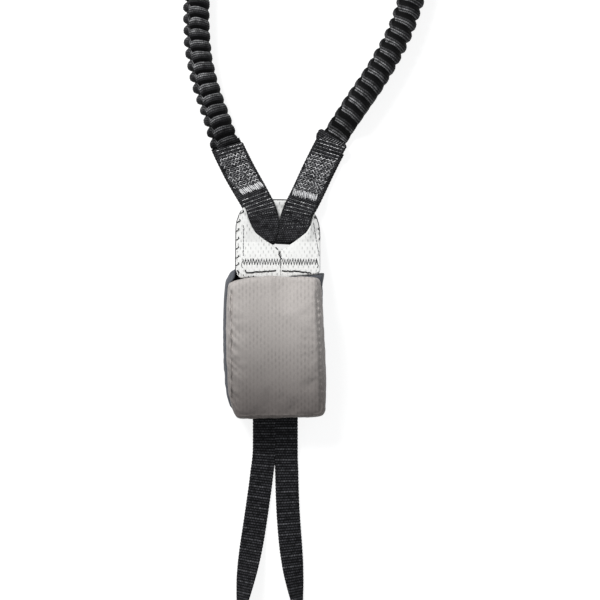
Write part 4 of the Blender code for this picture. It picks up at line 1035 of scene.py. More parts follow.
# White polyester webbing, undyed and close-woven: matt, with small grey pits between its slanting floats.
whitePolyester = wovenMaterial("wovenPolyesterWebbing", {
    "shader": {"Roughness": 0.8, "Specular IOR Level": 0.2, "Sheen Weight": 0.05, "Sheen Roughness": 0.5},
    "ground": "#8e8e8d", "float": "#eeeeec", "contrast": (0.45, 1.0), "ticks": 3.6, "tickPatch": 0.011,
    "tickLeast": 0.2, "drift": 0.02, "unevenness": 0.35, "stagger": 0.45, "patch": 0.004, "patchLeast": 0.97,
    "fuzz": 0.0018, "variation": 0.03, "rowPitch": 0.0027, "floatLength": 0.0037, "rowRoundness": 1.0,
    "floatRoundness": 0.7, "floatDepth": 1.0, "relief": 0.00010,
})
eyeBackPiece = makeEyeBack(whitePolyester)
flapPieces = {side: makeFlap(side, whitePolyester) for side in bothSides}
print("stage: eye")


# Pouch: a slate back and a light ripstop front, each a shell that swells from its rim. Outlines are in millimetres.
pouch = {
    "split": 0.0143, "height": 0.0376, "wall": 0.0012, "steps": 12, "sideRings": 16, "backRings": 12, "upright": 56,
    "level": 40, "corners": (21, 5, 10, 16), "sag": 0.0125, "sagFrom": 0.022, "sagRun": 0.070, "sagPower": 1.9,
    "lean": 0.0018, "leanRun": 0.03, "rounding": 0.0026, "roundingHalf": 0.033, "dish": 0.0014, "dishHalf": 0.030,
    "crown": 0.0005, "fold": 0.0004, "foldAt": -0.0006, "foldWidth": 0.0012, "foldFrom": (0.020, 0.050),
    "mouthLevel": 0.0232, "mouthHalf": 0.0265, "mouthFrom": (0.0440, 0.0480), "mouthRun": 0.004, "mouthX": 0.002,
    "slingMouthLevel": 0.0058, "slingMouthHalf": 0.0215, "slingMouthFrom": (0.0450, 0.0480), "slingMouthRun": 0.003,
    "scallopPitch": 0.0049, "scallopDepth": 0.0009, "scallopX": 0.0285, "scallopHalf": 0.044, "sunk": 0.0007,
    "sunkRun": 0.0016, "cellUp": 0.0017, "cellAcross": 0.0016, "swell": 0.0006, "swellRun": 0.004,
    "gather": 0.0005, "gatherRun": 0.005, "crumple": (0.0008, 0.0004), "backCrumple": 0.0006, "backGap": 0.0003,
    "backFoot": (0.90, 0.925), "wallPowers": (0.9, 0.8), "seamSides": {"left": -0.027, "right": 0.0286},
    "onSeamHeld": 0.92, "heldRim": 0.0015, "heldFoot": 0.0015, "heldTop": 0.0133, "heldMouth": (-0.0440, 0.0045),
    "rim": inMetres([
        (-33.2, -31), (-34.1, -10), (-34.8, 11.5), (-34.6, 30), (-33.6, 43.5), (-31.6, 46.5), (-25.5, 48.5),
        (-12, 50.4), (10, 50.5), (28.5, 50.2), (31.8, 48.4), (33, 44.6), (34.2, 28), (35.2, 8), (36.3, -18),
        (36.5, -42), (35.7, -47), (31.8, -49.8), (15, -50.6), (-8, -51.2), (-24.5, -51.5), (-28.4, -49.3),
        (-30.4, -44.5), (-32.1, -37.5),
    ]),
    "seam": inMetres([
        (-30.4, -31), (-30.6, -10), (-30.7, 11.5), (-30.9, 30), (-30.6, 40.5), (-29, 44), (-24.6, 46.6),
        (-11.5, 48.9), (10, 49.2), (26.2, 48.9), (28.7, 46.8), (29.6, 43), (30.6, 28), (31.6, 8), (32.6, -18),
        (33.1, -40), (32.2, -44.8), (29, -47.2), (14.5, -47.8), (-7.5, -48.2), (-22.2, -48.4), (-25.8, -46.2),
        (-27.8, -42.2), (-29.8, -36.5),
    ]),
    "backRim": inMetres([
        (-35.2, -31), (-36.8, -10), (-37.3, 12.2), (-36.9, 32), (-35.8, 45), (-34.1, 50.3), (-29, 55.6),
        (-12, 55.6), (12, 54.5), (31, 53.2), (35, 52.2), (34.2, 44.6), (34, 28), (34.2, 8), (34.4, -18),
        (34.4, -40), (33.6, -44.6), (30, -47.8), (15, -48.8), (-8, -49.2), (-23.5, -49), (-28.5, -47),
        (-31.8, -43), (-33.8, -37.5),
    ]),
}
pull = {
    "runTop": 0.0425, "topRun": 0.006, "runFoot": -0.047, "footRun": 0.012, "above": 0.006, "outside": 0.020,
    "left": 0.0023, "leftWidth": 0.0011, "leftWander": 0.0004, "pucker": 0.0021, "puckerWidth": 0.0042,
    "right": 0.0010, "rightWidth": 0.0019, "rightRise": 0.0003, "rightFade": (0.0015, 0.0045), "dimple": 0.0009,
    "dimpleAt": 0.0004, "dimpleWidth": 0.0012, "unevenness": 0.5,
}
billowing = {
    "front": {"pressure": 1.6, "steps": 20, "cap": 0.0012, "slack": -0.008},
    "back": {"pressure": 1.5, "steps": 12, "cap": 0.0010, "slack": -0.02},
}


def evenRun(points, count):
    reach = [0.0]
    for before, after in zip(points, points[1:]):
        reach.append(reach[-1] + (after - before).length)
    run, place = [], 0
    for step in range(count):
        wanted = reach[-1] * step / count
        while reach[place + 1] < wanted:
            place += 1
        share = (wanted - reach[place]) / (reach[place + 1] - reach[place])
        run.append(points[place].lerp(points[place + 1], share))
    return run


# The outline in even steps along each of its four sides, up the left side first.
def pouchOutline(table):
    line = smoothThrough([(*point, 0) for point in table], pouch["steps"], closed=True)
    corners = [corner * pouch["steps"] for corner in pouch["corners"]]
    outline = []
    for start, end, count in zip(corners, corners[1:] + corners[:1], (pouch["upright"], pouch["level"]) * 2):
        outline += evenRun(line[start:end + 1] if start < end else line[start:] + line[:end + 1], count)
    return outline


def frontLevel(x, y):
    sag = pouch["sag"] * (max(0.0, pouch["sagFrom"] - y) / pouch["sagRun"]) ** pouch["sagPower"]
    lean = pouch["lean"] * max(0.0, (y - pouch["sagFrom"]) / pouch["leanRun"]) ** 2
    rounded = pouch["rounding"] * (x / pouch["roundingHalf"]) ** 6 - pouch["dish"] * (x / pouch["dishHalf"]) ** 2
    fold = pouch["fold"] * math.tanh((x - pouch["foldAt"]) / pouch["foldWidth"]) * easeStep(y, *pouch["foldFrom"])
    return pouch["height"] + pouch["crown"] - sag - lean - rounded - fold


def rimLevel(point):
    aside = easeStep(pouch["mouthHalf"] - abs(point.x - pouch["mouthX"]), 0.0, pouch["mouthRun"])
    return pouch["split"] + (pouch["mouthLevel"] - pouch["split"]) * easeStep(point.y, *pouch["mouthFrom"]) * aside


# The right side's seam is gathered: it runs in shallow scallops, a stitch hole at each.
def scalloped(seam):
    made = []
    for point in seam:
        if point.x > pouch["scallopX"] and abs(point.y) < pouch["scallopHalf"]:
            wave = abs(math.sin(math.pi * point.y / pouch["scallopPitch"]))
            point = Vector((point.x + pouch["scallopDepth"] * (wave - 0.6), point.y, 0))
        made.append(point)
    return made


def makePouchFront(material):
    rim, seam = pouchOutline(pouch["rim"]), scalloped(pouchOutline(pouch["seam"]))
    coarse, fine = pouch["crumple"]
    rows = []
    for ring in range(pouch["sideRings"] + 1):
        turn = math.pi / 2 * ring / pouch["sideRings"]
        row = []
        for outer, inner in zip(rim, seam):
            low, high = rimLevel(outer), frontLevel(inner.x, inner.y) - pouch["sunk"]
            point = outer + (inner - outer) * (1 - math.cos(turn) ** pouch["wallPowers"][0])
            point.z = low + (high - low) * math.sin(turn) ** pouch["wallPowers"][1]
            slant = Vector((point.x * 90, point.y * 190 + point.z * 230, 5.0 + point.z * 40))
            crumple = coarse * noiseAt(*slant) + fine * noiseAt(*(slant * 2.3))
            point += (outer - inner).normalized() * crumple * math.sin(math.pi * ring / pouch["sideRings"])
            row.append(point)
        rows.append(row)
    build = Build()
    build.skin(rows, closed=True)
    tall, wide = pouch["upright"], pouch["level"]
    ring = rows[-1]
    left, top = ring[:tall + 1], ring[tall:tall + wide + 1]
    right = ring[tall + wide:2 * tall + wide + 1][::-1]
    bottom = (ring[2 * tall + wide:] + ring[:1])[::-1]
    grid = []
    for step in range(tall + 1):
        up, line = step / tall, []
        for column in range(wide + 1):
            over = column / wide
            point = left[step] * (1 - over) + right[step] * over + bottom[column] * (1 - up) + top[column] * up
            lower = bottom[0] * (1 - over) * (1 - up) + bottom[-1] * over * (1 - up)
            point -= lower + top[0] * (1 - over) * up + top[-1] * over * up
            fromSeam = min(min(step, tall - step) * pouch["cellUp"], min(column, wide - column) * pouch["cellAcross"])
            if fromSeam > 0:
                swell = pouch["swell"] * noiseAt(point.x * 55 + point.y * 22, point.y * 50, 1.0)
                gather = pouch["gather"] * math.exp(-fromSeam / pouch["gatherRun"])
                sunk = pouch["sunk"] * math.exp(-fromSeam / pouch["sunkRun"])
                point.z = frontLevel(point.x, point.y) - sunk
                point.z += swell * min(1.0, fromSeam / pouch["swellRun"])
                point.z += gather * noiseAt(point.x * 70, point.y * 260, 2.0)
            line.append(point)
        grid.append(line)
    build.skin(grid)
    piece = addPiece("pouchFront", build, material, merged=True, replaced=["pouch_front"])
    seamLine = {(round(point.x, 5), round(point.y, 5)) for point in ring}
    held = []
    for vert in piece.data.vertices:
        onSeam = (round(vert.co.x, 5), round(vert.co.y, 5)) in seamLine
        held.append(1.0 if vert.co.z < rimLevel(vert.co) + pouch["heldRim"] else onSeam * pouch["onSeamHeld"])
    billow(piece, held, **billowing["front"])
    thicken(piece)
    pullSeams(piece)
    return piece


# The seam's x on one side of the front at a height.
def seamX(side, y):
    limit = pouch["seamSides"][side]
    run = [(high, x) for x, high in pouch["seam"] if (x < limit if side == "left" else x > limit)]
    return tableValue(sorted(run), y)


# The sewing thread draws the cloth in: a creased groove down the left seam, and a dimple at each stitch of the right.
def pullSeams(piece):
    for vert in piece.data.vertices:
        x, y = vert.co.x, vert.co.y
        inRun = easeStep(pull["runTop"] - y, 0, pull["topRun"]) * easeStep(y - pull["runFoot"], 0, pull["footRun"])
        if vert.co.z < pouch["split"] + pull["above"] or abs(x) < pull["outside"] or not inRun:
            continue
        if x < 0:
            away = x - seamX("left", y) - pull["leftWander"] * noiseAt(0.0, y * 90, 3.0)
            slant = Vector((x * 260 + y * 260, y * 60, 9.0))
            vert.co.z -= inRun * pull["left"] * math.exp(-(away / pull["leftWidth"]) ** 2)
            vert.co.z += inRun * pull["pucker"] * noiseAt(*slant) * math.exp(-abs(away) / pull["puckerWidth"])
        else:
            away = x - seamX("right", y)
            stitched = math.cos(math.pi * y / pouch["scallopPitch"]) ** 2
            stitched *= 1 + pull["unevenness"] * noiseAt(0.0, y * 150, 1.0)
            fall = easeStep(away, -pull["rightWidth"], pull["rightRise"]) * (1 - easeStep(away, *pull["rightFade"]))
            oval = math.exp(-((away - pull["dimpleAt"]) / pull["dimpleWidth"]) ** 2)
            vert.co.z -= inRun * (pull["right"] * fall + pull["dimple"] * stitched * oval)
    piece.data.update()


# Cloth blown out by what fills it. Held points stay, and the others may move no further than the cap.
def billow(piece, held, pressure, steps, cap, slack):
    before = [vert.co.copy() for vert in piece.data.vertices]
    group = piece.vertex_groups.new(name="held")
    for index, weight in enumerate(held):
        if weight:
            group.add([index], weight, "REPLACE")
    cloth = piece.modifiers.new("Cloth", "CLOTH")
    cloth.collision_settings.use_collision = False
    cloth.settings.effector_weights.gravity = 0.0
    for setting, value in {
        "vertex_group_mass": "held", "quality": 8, "use_pressure": True, "uniform_pressure_force": pressure,
        "shrink_min": slack, "bending_stiffness": 0.05,
    }.items():
        setattr(cloth.settings, setting, value)
    for step in range(1, steps + 1):
        bpy.context.scene.frame_set(step)
    moved = piece.evaluated_get(bpy.context.evaluated_depsgraph_get()).to_mesh()
    after = [vert.co.copy() for vert in moved.vertices]
    piece.modifiers.clear()
    piece.vertex_groups.clear()
    bpy.context.scene.frame_set(1)
    far = 0.0
    for vert, old, new in zip(piece.data.vertices, before, after):
        step = new - old
        far = max(far, step.length)
        if step.length > cap:
            step *= cap / step.length
        vert.co = old + step
        vert.co.z = max(vert.co.z, 0.0)
    piece.data.update()
    print(f"cloth: {piece.name} moved up to {far / mm:.2f} mm before its cap")


def thicken(piece):
    solid = piece.modifiers.new("Wall", "SOLIDIFY")
    solid.thickness, solid.offset = pouch["wall"], -1
    solid.use_even_offset = False
    smooth = piece.modifiers.new("Smooth", "SUBSURF")
    smooth.levels = smooth.render_levels = 1
    bpy.context.view_layer.update()
    mesh = bpy.data.meshes.new_from_object(piece.evaluated_get(bpy.context.evaluated_depsgraph_get()))
    piece.modifiers.clear()
    piece.data = mesh


def makePouchBack(material):
    rings, split, mouthLevel = pouch["backRings"], pouch["split"], pouch["slingMouthLevel"]
    rows = []
    for ring in range(rings + 1):
        turn = math.pi / 2 * ring / rings
        row = []
        for outer in pouchOutline(pouch["backRim"]):
            inner = Vector((outer.x * pouch["backFoot"][0], outer.y * pouch["backFoot"][1], 0))
            atMouth = easeStep(-outer.y, *pouch["slingMouthFrom"])
            atMouth *= easeStep(pouch["slingMouthHalf"] - abs(outer.x), 0.0, pouch["slingMouthRun"])
            point = outer + (inner - outer) * (1 - math.cos(turn))
            point.z = (split - pouch["backGap"] - (split - mouthLevel) * atMouth) * (1 - math.sin(turn))
            crumple = noiseAt(point.x * 130, point.y * 130, point.z * 200)
            out = (outer - inner).normalized() * pouch["backCrumple"]
            point += out * crumple * math.sin(math.pi * ring / rings)
            row.append(point)
        rows.append(row)
    for ring in range(1, rings + 1):
        share = 1 - ring / rings
        rows.append([Vector((point.x * share, point.y * share, 0.0)) for point in rows[rings]])
    build = Build()
    build.skin(rows, [[(point.x, point.y + point.z) for point in [*row, row[0]]] for row in rows], closed=True)
    piece = addPiece("pouchBack", build, material, merged=True, replaced=["pouch_back"])
    held, (mouthY, mouthZ) = [], pouch["heldMouth"]
    for x, y, z in (vert.co for vert in piece.data.vertices):
        atEdge = z < pouch["heldFoot"] or z > pouch["heldTop"] or (y < mouthY and z > mouthZ)
        held.append(1.0 if atEdge else 0.0)
    billow(piece, held, **billowing["back"])
    thicken(piece)
    return piece


# The slate cloth that stands between the back's edge and the front's wall, up the left side and round both top corners.
shoulder = {
    "thickness": 0.0009, "columns": 9, "steps": 8, "crease": 0.00035, "below": 0.0002, "climb": 1.25, "power": 0.8,
    "left": {
        "outer": [
            (-28.8, 56), (-31.6, 53.8), (-34, 50.4), (-35.4, 47), (-36.1, 43), (-36.9, 32), (-37.3, 12.2),
            (-36.8, -10), (-35.2, -31), (-33.8, -38), (-32.2, -42.8),
        ],
        "inner": [
            (-28.4, 54), (-28.6, 51), (-30, 48.6), (-32.2, 45.6), (-33.6, 42), (-34, 31), (-34.4, 12), (-33.8, -10),
            (-32.8, -31), (-31.8, -37.4), (-31, -42),
        ],
        "rise": [1, 4.4, 6, 6.8, 6.6, 6.2, 5.6, 4.4, 3, 2, 1],
    },
    "right": {
        "outer": [(10.5, 51.1), (18, 51.6), (25.2, 52.2), (31, 53), (35, 53.1), (35.3, 51), (34.6, 47), (34, 43)],
        "inner": [
            (10.5, 50.2), (18, 50.1), (25.2, 50), (29, 49.8), (31.2, 48.8), (32.5, 47.4), (33.4, 44.8), (33.7, 42.6),
        ],
        "rise": [8, 8.5, 8.5, 8.2, 7.6, 7, 5, 1],
    },
}


def makeShoulder(side, material, parent):
    look, columns = shoulder[side], shoulder["columns"]
    outer, inner = [
        smoothThrough([(x, y, 0) for x, y in inMetres(look[edge])], shoulder["steps"]) for edge in ("outer", "inner")
    ]
    rise = smoothThrough([(height * mm, 0, 0) for height in look["rise"]], shoulder["steps"])
    tops, bottoms, uvRows, reach = [], [], [], 0.0
    for index, (a, b, height) in enumerate(zip(outer, inner, rise)):
        if index:
            reach += (a - outer[index - 1]).length
        upper, lower = [], []
        for share in [column / columns for column in range(columns + 1)]:
            x, y, _ = a.lerp(b, share)
            crease = shoulder["crease"] * noiseAt(reach * 140, share * 1.6, 4.0)
            climb = height.x * math.sin(math.pi / 2 * min(1.0, share * shoulder["climb"])) ** shoulder["power"]
            base = pouch["split"] - shoulder["below"] + climb
            upper.append(Vector((x, y, base + crease * math.sin(math.pi * share))))
            lower.append(Vector((x, y, base - shoulder["thickness"])))
        tops.append(upper)
        bottoms.append(lower)
        uvRows.append([(column / columns * (a - b).length, reach) for column in range(columns + 1)])
    addSlab(f"pouchShoulder.{side}", tops, bottoms, material, uvRows, parent=parent)


tear = {
    "width": 0.0400, "thickness": 0.0020, "drawn": 0.0018, "plies": 11, "top": 0.0385, "bottom": -0.0400,
    "lowest": 0.0030, "highest": 0.0335, "lean": 0.32, "leanFrom": 0.02, "leanRun": 0.06,
    "turnSteps": 6,
}


def makeTearWebbing(material):
    pitch = (tear["highest"] - tear["lowest"]) / (tear["plies"] - 1)
    radius = pitch / 2
    line = [(tear["bottom"] + radius, tear["lowest"])]
    for ply in range(tear["plies"]):
        height, away = tear["lowest"] + pitch * ply, 1 if ply % 2 == 0 else -1
        endY = (tear["top"] if away == 1 else tear["bottom"]) - away * (radius + tear["thickness"] / 2)
        if ply == tear["plies"] - 1:
            line.append((endY, height))
            break
        for step in range(tear["turnSteps"] + 1):
            turn = math.radians(-90 + 180 * step / tear["turnSteps"])
            line.append((endY + radius * math.cos(turn) * away, height + radius + radius * math.sin(turn)))

    def put(along, across, up, share):
        down = max(0.0, (tear["leanFrom"] - along) / tear["leanRun"])
        return Vector((-across, along, up - tear["lean"] * down * down * (up - tear["lowest"])))

    addStrap("tearWebbing", line, tear["width"], tear["drawn"], put, material, seed=21.0, replaced=["tear_webbing"])


# Light grey ripstop nylon with a coated back: a fine plain weave, whose doubled threads show as soft upright dashes
# that stand in half steps. They are drawn about twice as coarse as the threads are, so that they show.
def ripstopMaterial(name, look):
    material, tree, shader = newMaterial(name, look["shader"])
    spot, acrossCloth, alongCloth, drift, patches, fuzz = clothPlace(tree, look)
    creases = addNode(tree, "TexNoise", {"Vector": spot, "Scale": 1 / look["crease"], "Detail": 3.0, "Distortion": 0.6})
    column = addNode(tree, "Math", (acrossCloth, 1 / look["columnPitch"]), operation="MULTIPLY")
    column = addNode(tree, "Math", (drift, look["unevenness"], column), operation="MULTIPLY_ADD")
    number = addNode(tree, "Math", (column,), operation="FLOOR")
    along = addNode(tree, "Math", (alongCloth, 1 / look["dashPitch"]), operation="MULTIPLY")
    along = addNode(tree, "Math", (number, 0.5, along), operation="MULTIPLY_ADD")
    along = addNode(tree, "Math", (drift, look["unevenness"] * 1.5, along), operation="MULTIPLY_ADD")
    masks = []
    for away, halfWidth in ((column, look["dashWidth"]), (along, look["dashShare"])):
        for operation, amount in (("FRACT", 0), ("SUBTRACT", 0.5), ("ABSOLUTE", 0)):
            away = addNode(tree, "Math", (away, amount) if amount else (away,), operation=operation)
        masks.append(addNode(tree, "MapRange", (away, halfWidth, 0.0), interpolation_type="SMOOTHSTEP"))
    dash = addNode(tree, "Math", masks, operation="MULTIPLY")
    strength = addNode(tree, "MapRange", (patches, 0.35, 0.65, look["dashLeast"], look["dashMost"]))
    shown = addNode(tree, "Math", (dash, strength), operation="MULTIPLY")
    # Painted shade: the cloth darkens to the foot colour towards the bottom of the pouch.
    paintedShadeToFoot = addNode(tree, "MapRange", (alongCloth, look["paintedShadeFrom"], look["paintedShadeUntil"]), interpolation_type="SMOOTHSTEP")
    tones = {6: linearColour(look["foot"]), 7: linearColour(look["cloth"])}
    cloth = addNode(tree, "Mix", {0: paintedShadeToFoot, **tones}, data_type="RGBA")
    # Painted light and shade: the cloth is lighter towards the pouch's right side and darker towards its left.
    aside = (acrossCloth, -look["paintedSideLightHalf"], look["paintedSideLightHalf"], 1 - look["fade"], 1 + look["fade"])
    aside = addNode(tree, "MapRange", aside, interpolation_type="SMOOTHSTEP")
    cloth = addNode(tree, "VectorMath", {0: cloth.outputs[2], "Scale": aside}, operation="SCALE")
    darker = addNode(tree, "VectorMath", {0: cloth, "Scale": look["dashTone"]}, operation="SCALE")
    colour = addNode(tree, "Mix", {0: shown, 6: cloth.outputs[0], 7: darker.outputs[0]}, data_type="RGBA")
    height = addNode(tree, "Math", (creases, look["creaseRelief"]), operation="MULTIPLY")
    height = addNode(tree, "Math", (dash, -look["dashRelief"], height), operation="MULTIPLY_ADD")
    finishSurface(tree, shader, colour.outputs[2], fuzz, look["variation"], height, 1.0)
    return material


# The front's cloth darkens towards the pouch's foot as painted shade.
greyRipstop = ripstopMaterial("coatedRipstopNylon", {
    "shader": {"Roughness": 0.60, "Specular IOR Level": 0.18, "Sheen Weight": 0.06, "Sheen Roughness": 0.4},
    # fade is how strong the painted light and shade from side to side is.
    "cloth": "#bfb9b5", "foot": "#79726f", "fade": 0.07, "paintedSideLightHalf": 0.028, "paintedShadeFrom": -0.062, "paintedShadeUntil": 0.034,
    "dashTone": 0.70, "columnPitch": 0.0026, "dashPitch": 0.0049, "dashWidth": 0.40, "dashShare": 0.62,
    "drift": 0.012, "unevenness": 0.45, "patch": 0.016, "dashLeast": 0.15, "dashMost": 0.85, "fuzz": 0.0009,
    "variation": 0.05, "crease": 0.010, "creaseRelief": 0.00030, "dashRelief": 0.00006,
})
# Slate nylon, plain woven: blue-grey, a little lighter where its weft faces the lamp.
slateCanvas = wovenMaterial("wovenSlateNylon", {
    "shader": {"Roughness": 0.62, "Specular IOR Level": 0.25, "Sheen Weight": 0.08, "Sheen Roughness": 0.4},
    "ground": "#3d3f45", "float": "#66696f", "contrast": (0.1, 0.9), "drift": 0.02, "unevenness": 0.2,
    "stagger": 0.5, "patch": 0.006, "patchLeast": 0.6, "fuzz": 0.0012, "variation": 0.1, "rowPitch": 0.0009,
    "floatLength": 0.0009, "rowRoundness": 0.6, "floatRoundness": 0.6, "floatDepth": 0.5, "relief": 0.00008,
})
makePouchFront(greyRipstop)
backPiece = makePouchBack(slateCanvas)
for side in bothSides:
    makeShoulder(side, slateCanvas, backPiece)
makeTearWebbing(whitePolyester)
print("stage: pouch")


# Bonded polyester sewing thread: the grey catches the lamp on black webbing, the dark one draws lines on white.
greyThread, dimThread, darkThread, softThread = [
    plainMaterial(
        f"twistedPolyesterThread{name}", colour,
        {"Roughness": 0.55, "Specular IOR Level": 0.3, "Sheen Weight": 0.1},
        {"mottle": 0.0012, "grain": 0.0004, "detail": 2.0, "variation": variation, "relief": 0.00005},
    )
    for name, colour, variation in (
        ("Grey", "#dededf", 0.40), ("Dim", "#8a8a8c", 0.45), ("Dark", "#1b1b1d", 0.30), ("Soft", "#6f6f71", 0.30),
    )
]

# Distances along the arm from the bight, and across it from its middle to the left. Each stitch is a short run
# that dips into the cloth at both ends. Of a kind's stitches, those drawn under "bright" are bright, those under
# "seen" dim, and the others don't show.
sewing = {
    "thread": 0.00023, "dimShare": 0.8, "rest": 0.6, "lift": 0.00010, "reach": 0.0098, "early": 0.001, "start": 0.0008,
    "dips": ((0.0, -1.6), (0.22, 0.7), (0.5, 1.0), (0.78, 0.7), (1.0, -1.6)),
    "kinds": {
        "rows": {"long": 0.0017, "step": 0.0024, "bright": 0.4, "seen": 1.0, "lift": 1.0, "wander": 0.0001},
        "dimRows": {"long": 0.0011, "step": 0.0016, "bright": 0.3, "seen": 1.0, "lift": 1.0, "wander": 0.0},
        "faintRows": {"long": 0.0007, "step": 0.0017, "bright": 0.0, "seen": 0.7, "lift": 0.3, "wander": 0.0},
    },
    "zigzag": {
        "wide": 0.0012, "wideDraw": (-0.0003, 0.0004), "half": 0.0006, "lowDraw": (-0.0004, 0.0003),
        "highDraw": (-0.0003, 0.0004), "bright": 0.62, "liftDraw": (0.4, 1.3), "doubled": 0.75, "below": 0.0013,
        "belowDraw": (-0.0003, 0.0003), "belowWide": 1.2, "start": 0.0012, "early": 0.0008,
    },
    "bartackThreads": ((0.0, 1.6), (0.00034, 1.2), (0.00075, 0.3)), "bartackSlant": 0.0009,
    "bartackEnd": (-0.0003, 0.0012), "bartackStep": (0.00115, 0.00140),
    "slant": {"half": 0.0011, "fall": (0.0009, -0.0003), "step": 0.0019, "from": -0.75, "until": 0.7},
    "left": {
        "rows": (0.0752, 0.0727, 0.0703), "block": (0.0462, 0.0684, 9), "bartack": (0.0393, 0.0443, -0.0096, 0.0070),
        "dimRows": (0.0355, 0.0328, 0.0301, 0.0274, 0.0247), "faintRows": (0.0215,), "slants": (),
    },
    "right": {
        "rows": (0.0780, 0.0755, 0.0730, 0.0705, 0.0680), "block": (0.0410, 0.0655, 10),
        "bartack": (0.0335, 0.0388, -0.0080, 0.0096), "dimRows": (0.0303, 0.0278, 0.0252, 0.0226),
        "faintRows": (0.0200, 0.0174, 0.0146, 0.0118), "slants": (0.0800,),
    },
    "end": {
        "rows": (0.0590, 0.0568), "block": (0.0395, 0.0530, 6), "bartack": (0.0335, 0.0375, -0.0096, 0.0096),
        "dimRows": (0.0308, 0.0284), "faintRows": (), "slants": (),
    },
}


# The height of the upper ply's face at a length along a sewn loop.
def plyTop(profile):
    line = evenLine(profile, strap["spacing"], strap["smoothing"])
    first = min(range(len(line)), key=lambda index: line[index].x)
    upper, half = line[first:], arm["webThickness"] / 2

    def top(along):
        for before, after in zip(upper, upper[1:]):
            if after.x >= along > before.x:
                slope = (after.y - before.y) / (after.x - before.x)
                return before.y + slope * (along - before.x) + half * math.hypot(1, slope)
        return upper[-1].y + half

    return top


def eyePlace(side, profile):
    top, put = plyTop(profile), putOnEye(side)
    upperEnd, tilt, rowTilt = [eyeLoop[name][side] for name in ("upperEnd", "tilt", "rowTilt")]

    def place(along, across, lift):
        final = along + rowTilt * across
        flat = final - tilt * across * easeStep(final, upperEnd - eyeLoop["tiltRun"], upperEnd)
        return put(flat, across, top(flat) + lift + loopLift(side, flat, across), 1.0)

    return place


def endPlace(side, profile):
    top = plyTop(profile)
    return lambda along, across, lift: putOnBar(side)(along, across, top(along) + lift, 1.0)


def sewLoop(name, place, look, parent, seed):
    draw, reach = random.Random(seed), sewing["reach"]
    bright, dim = [], []

    def stitch(into, start, end, height=1.0):
        run = []
        for share, rise in sewing["dips"]:
            along, across = start[0] + (end[0] - start[0]) * share, start[1] + (end[1] - start[1]) * share
            run.append(place(along, across, sewing["lift"] * height * rise + sewing["thread"] * sewing["rest"]))
        into.append(run)

    def sewRows(kindName):
        kind = sewing["kinds"][kindName]
        for along in look[kindName]:
            across = -reach + draw.uniform(0, sewing["start"])
            while across < reach - sewing["early"]:
                end = along + draw.uniform(-kind["wander"], kind["wander"]) if kind["wander"] else along
                chance = draw.random()
                if chance < kind["seen"]:
                    into = bright if chance < kind["bright"] else dim
                    stitch(into, (along, across), (end, across + kind["long"]), kind["lift"])
                across += kind["step"]

    sewRows("rows")
    zigzag, (first, last, rows) = sewing["zigzag"], look["block"]
    for row in range(rows):
        along = first + (last - first) * row / (rows - 1)
        across, up = -reach + draw.uniform(0, zigzag["start"]), row % 2 == 0
        while across < reach - zigzag["early"]:
            wide = zigzag["wide"] + draw.uniform(*zigzag["wideDraw"])
            low = along - zigzag["half"] + draw.uniform(*zigzag["lowDraw"])
            high = along + zigzag["half"] + draw.uniform(*zigzag["highDraw"])
            into = bright if draw.random() < zigzag["bright"] else dim
            ends = (low, high) if up else (high, low)
            stitch(into, (ends[0], across), (ends[1], across + wide), draw.uniform(*zigzag["liftDraw"]))
            if draw.random() < zigzag["doubled"]:
                below = along - zigzag["below"]
                end = below + draw.uniform(*zigzag["belowDraw"]), across + wide * zigzag["belowWide"]
                stitch(dim, (below, across), end)
            across, up = across + wide, not up
    low, high, across, left = look["bartack"]
    while across < left:
        for (offset, height), into in zip(sewing["bartackThreads"], (bright, bright, dim)):
            start, end = low + draw.uniform(*sewing["bartackEnd"]), high - draw.uniform(*sewing["bartackEnd"])
            stitch(into, (start, across + offset), (end, across + offset + sewing["bartackSlant"]), height)
        across += draw.uniform(*sewing["bartackStep"])
    sewRows("dimRows")
    sewRows("faintRows")
    slant = sewing["slant"]
    for along in look["slants"]:
        across = reach * slant["from"]
        while across < reach * slant["until"]:
            ends = zip((along - slant["half"], along + slant["half"]), slant["fall"])
            stitch(dim, *((end, across + fall) for end, fall in ends))
            across += slant["step"]
    addThread(f"{name}Stitches", bright, sewing["thread"], greyThread, parent)
    addThread(f"{name}SmallStitches", dim, sewing["thread"] * sewing["dimShare"], dimThread, parent)


for seed, side in enumerate(bothSides):
    piece, profile = eyeLoops[side]
    sewLoop(f"eyeLoop.{side}", eyePlace(side, profile), sewing[side], piece, 31 + seed)
    piece, profile = endLoops[side]
    sewLoop(f"carabinerLoop.{side}", endPlace(side, profile), sewing["end"], piece, 41 + seed)


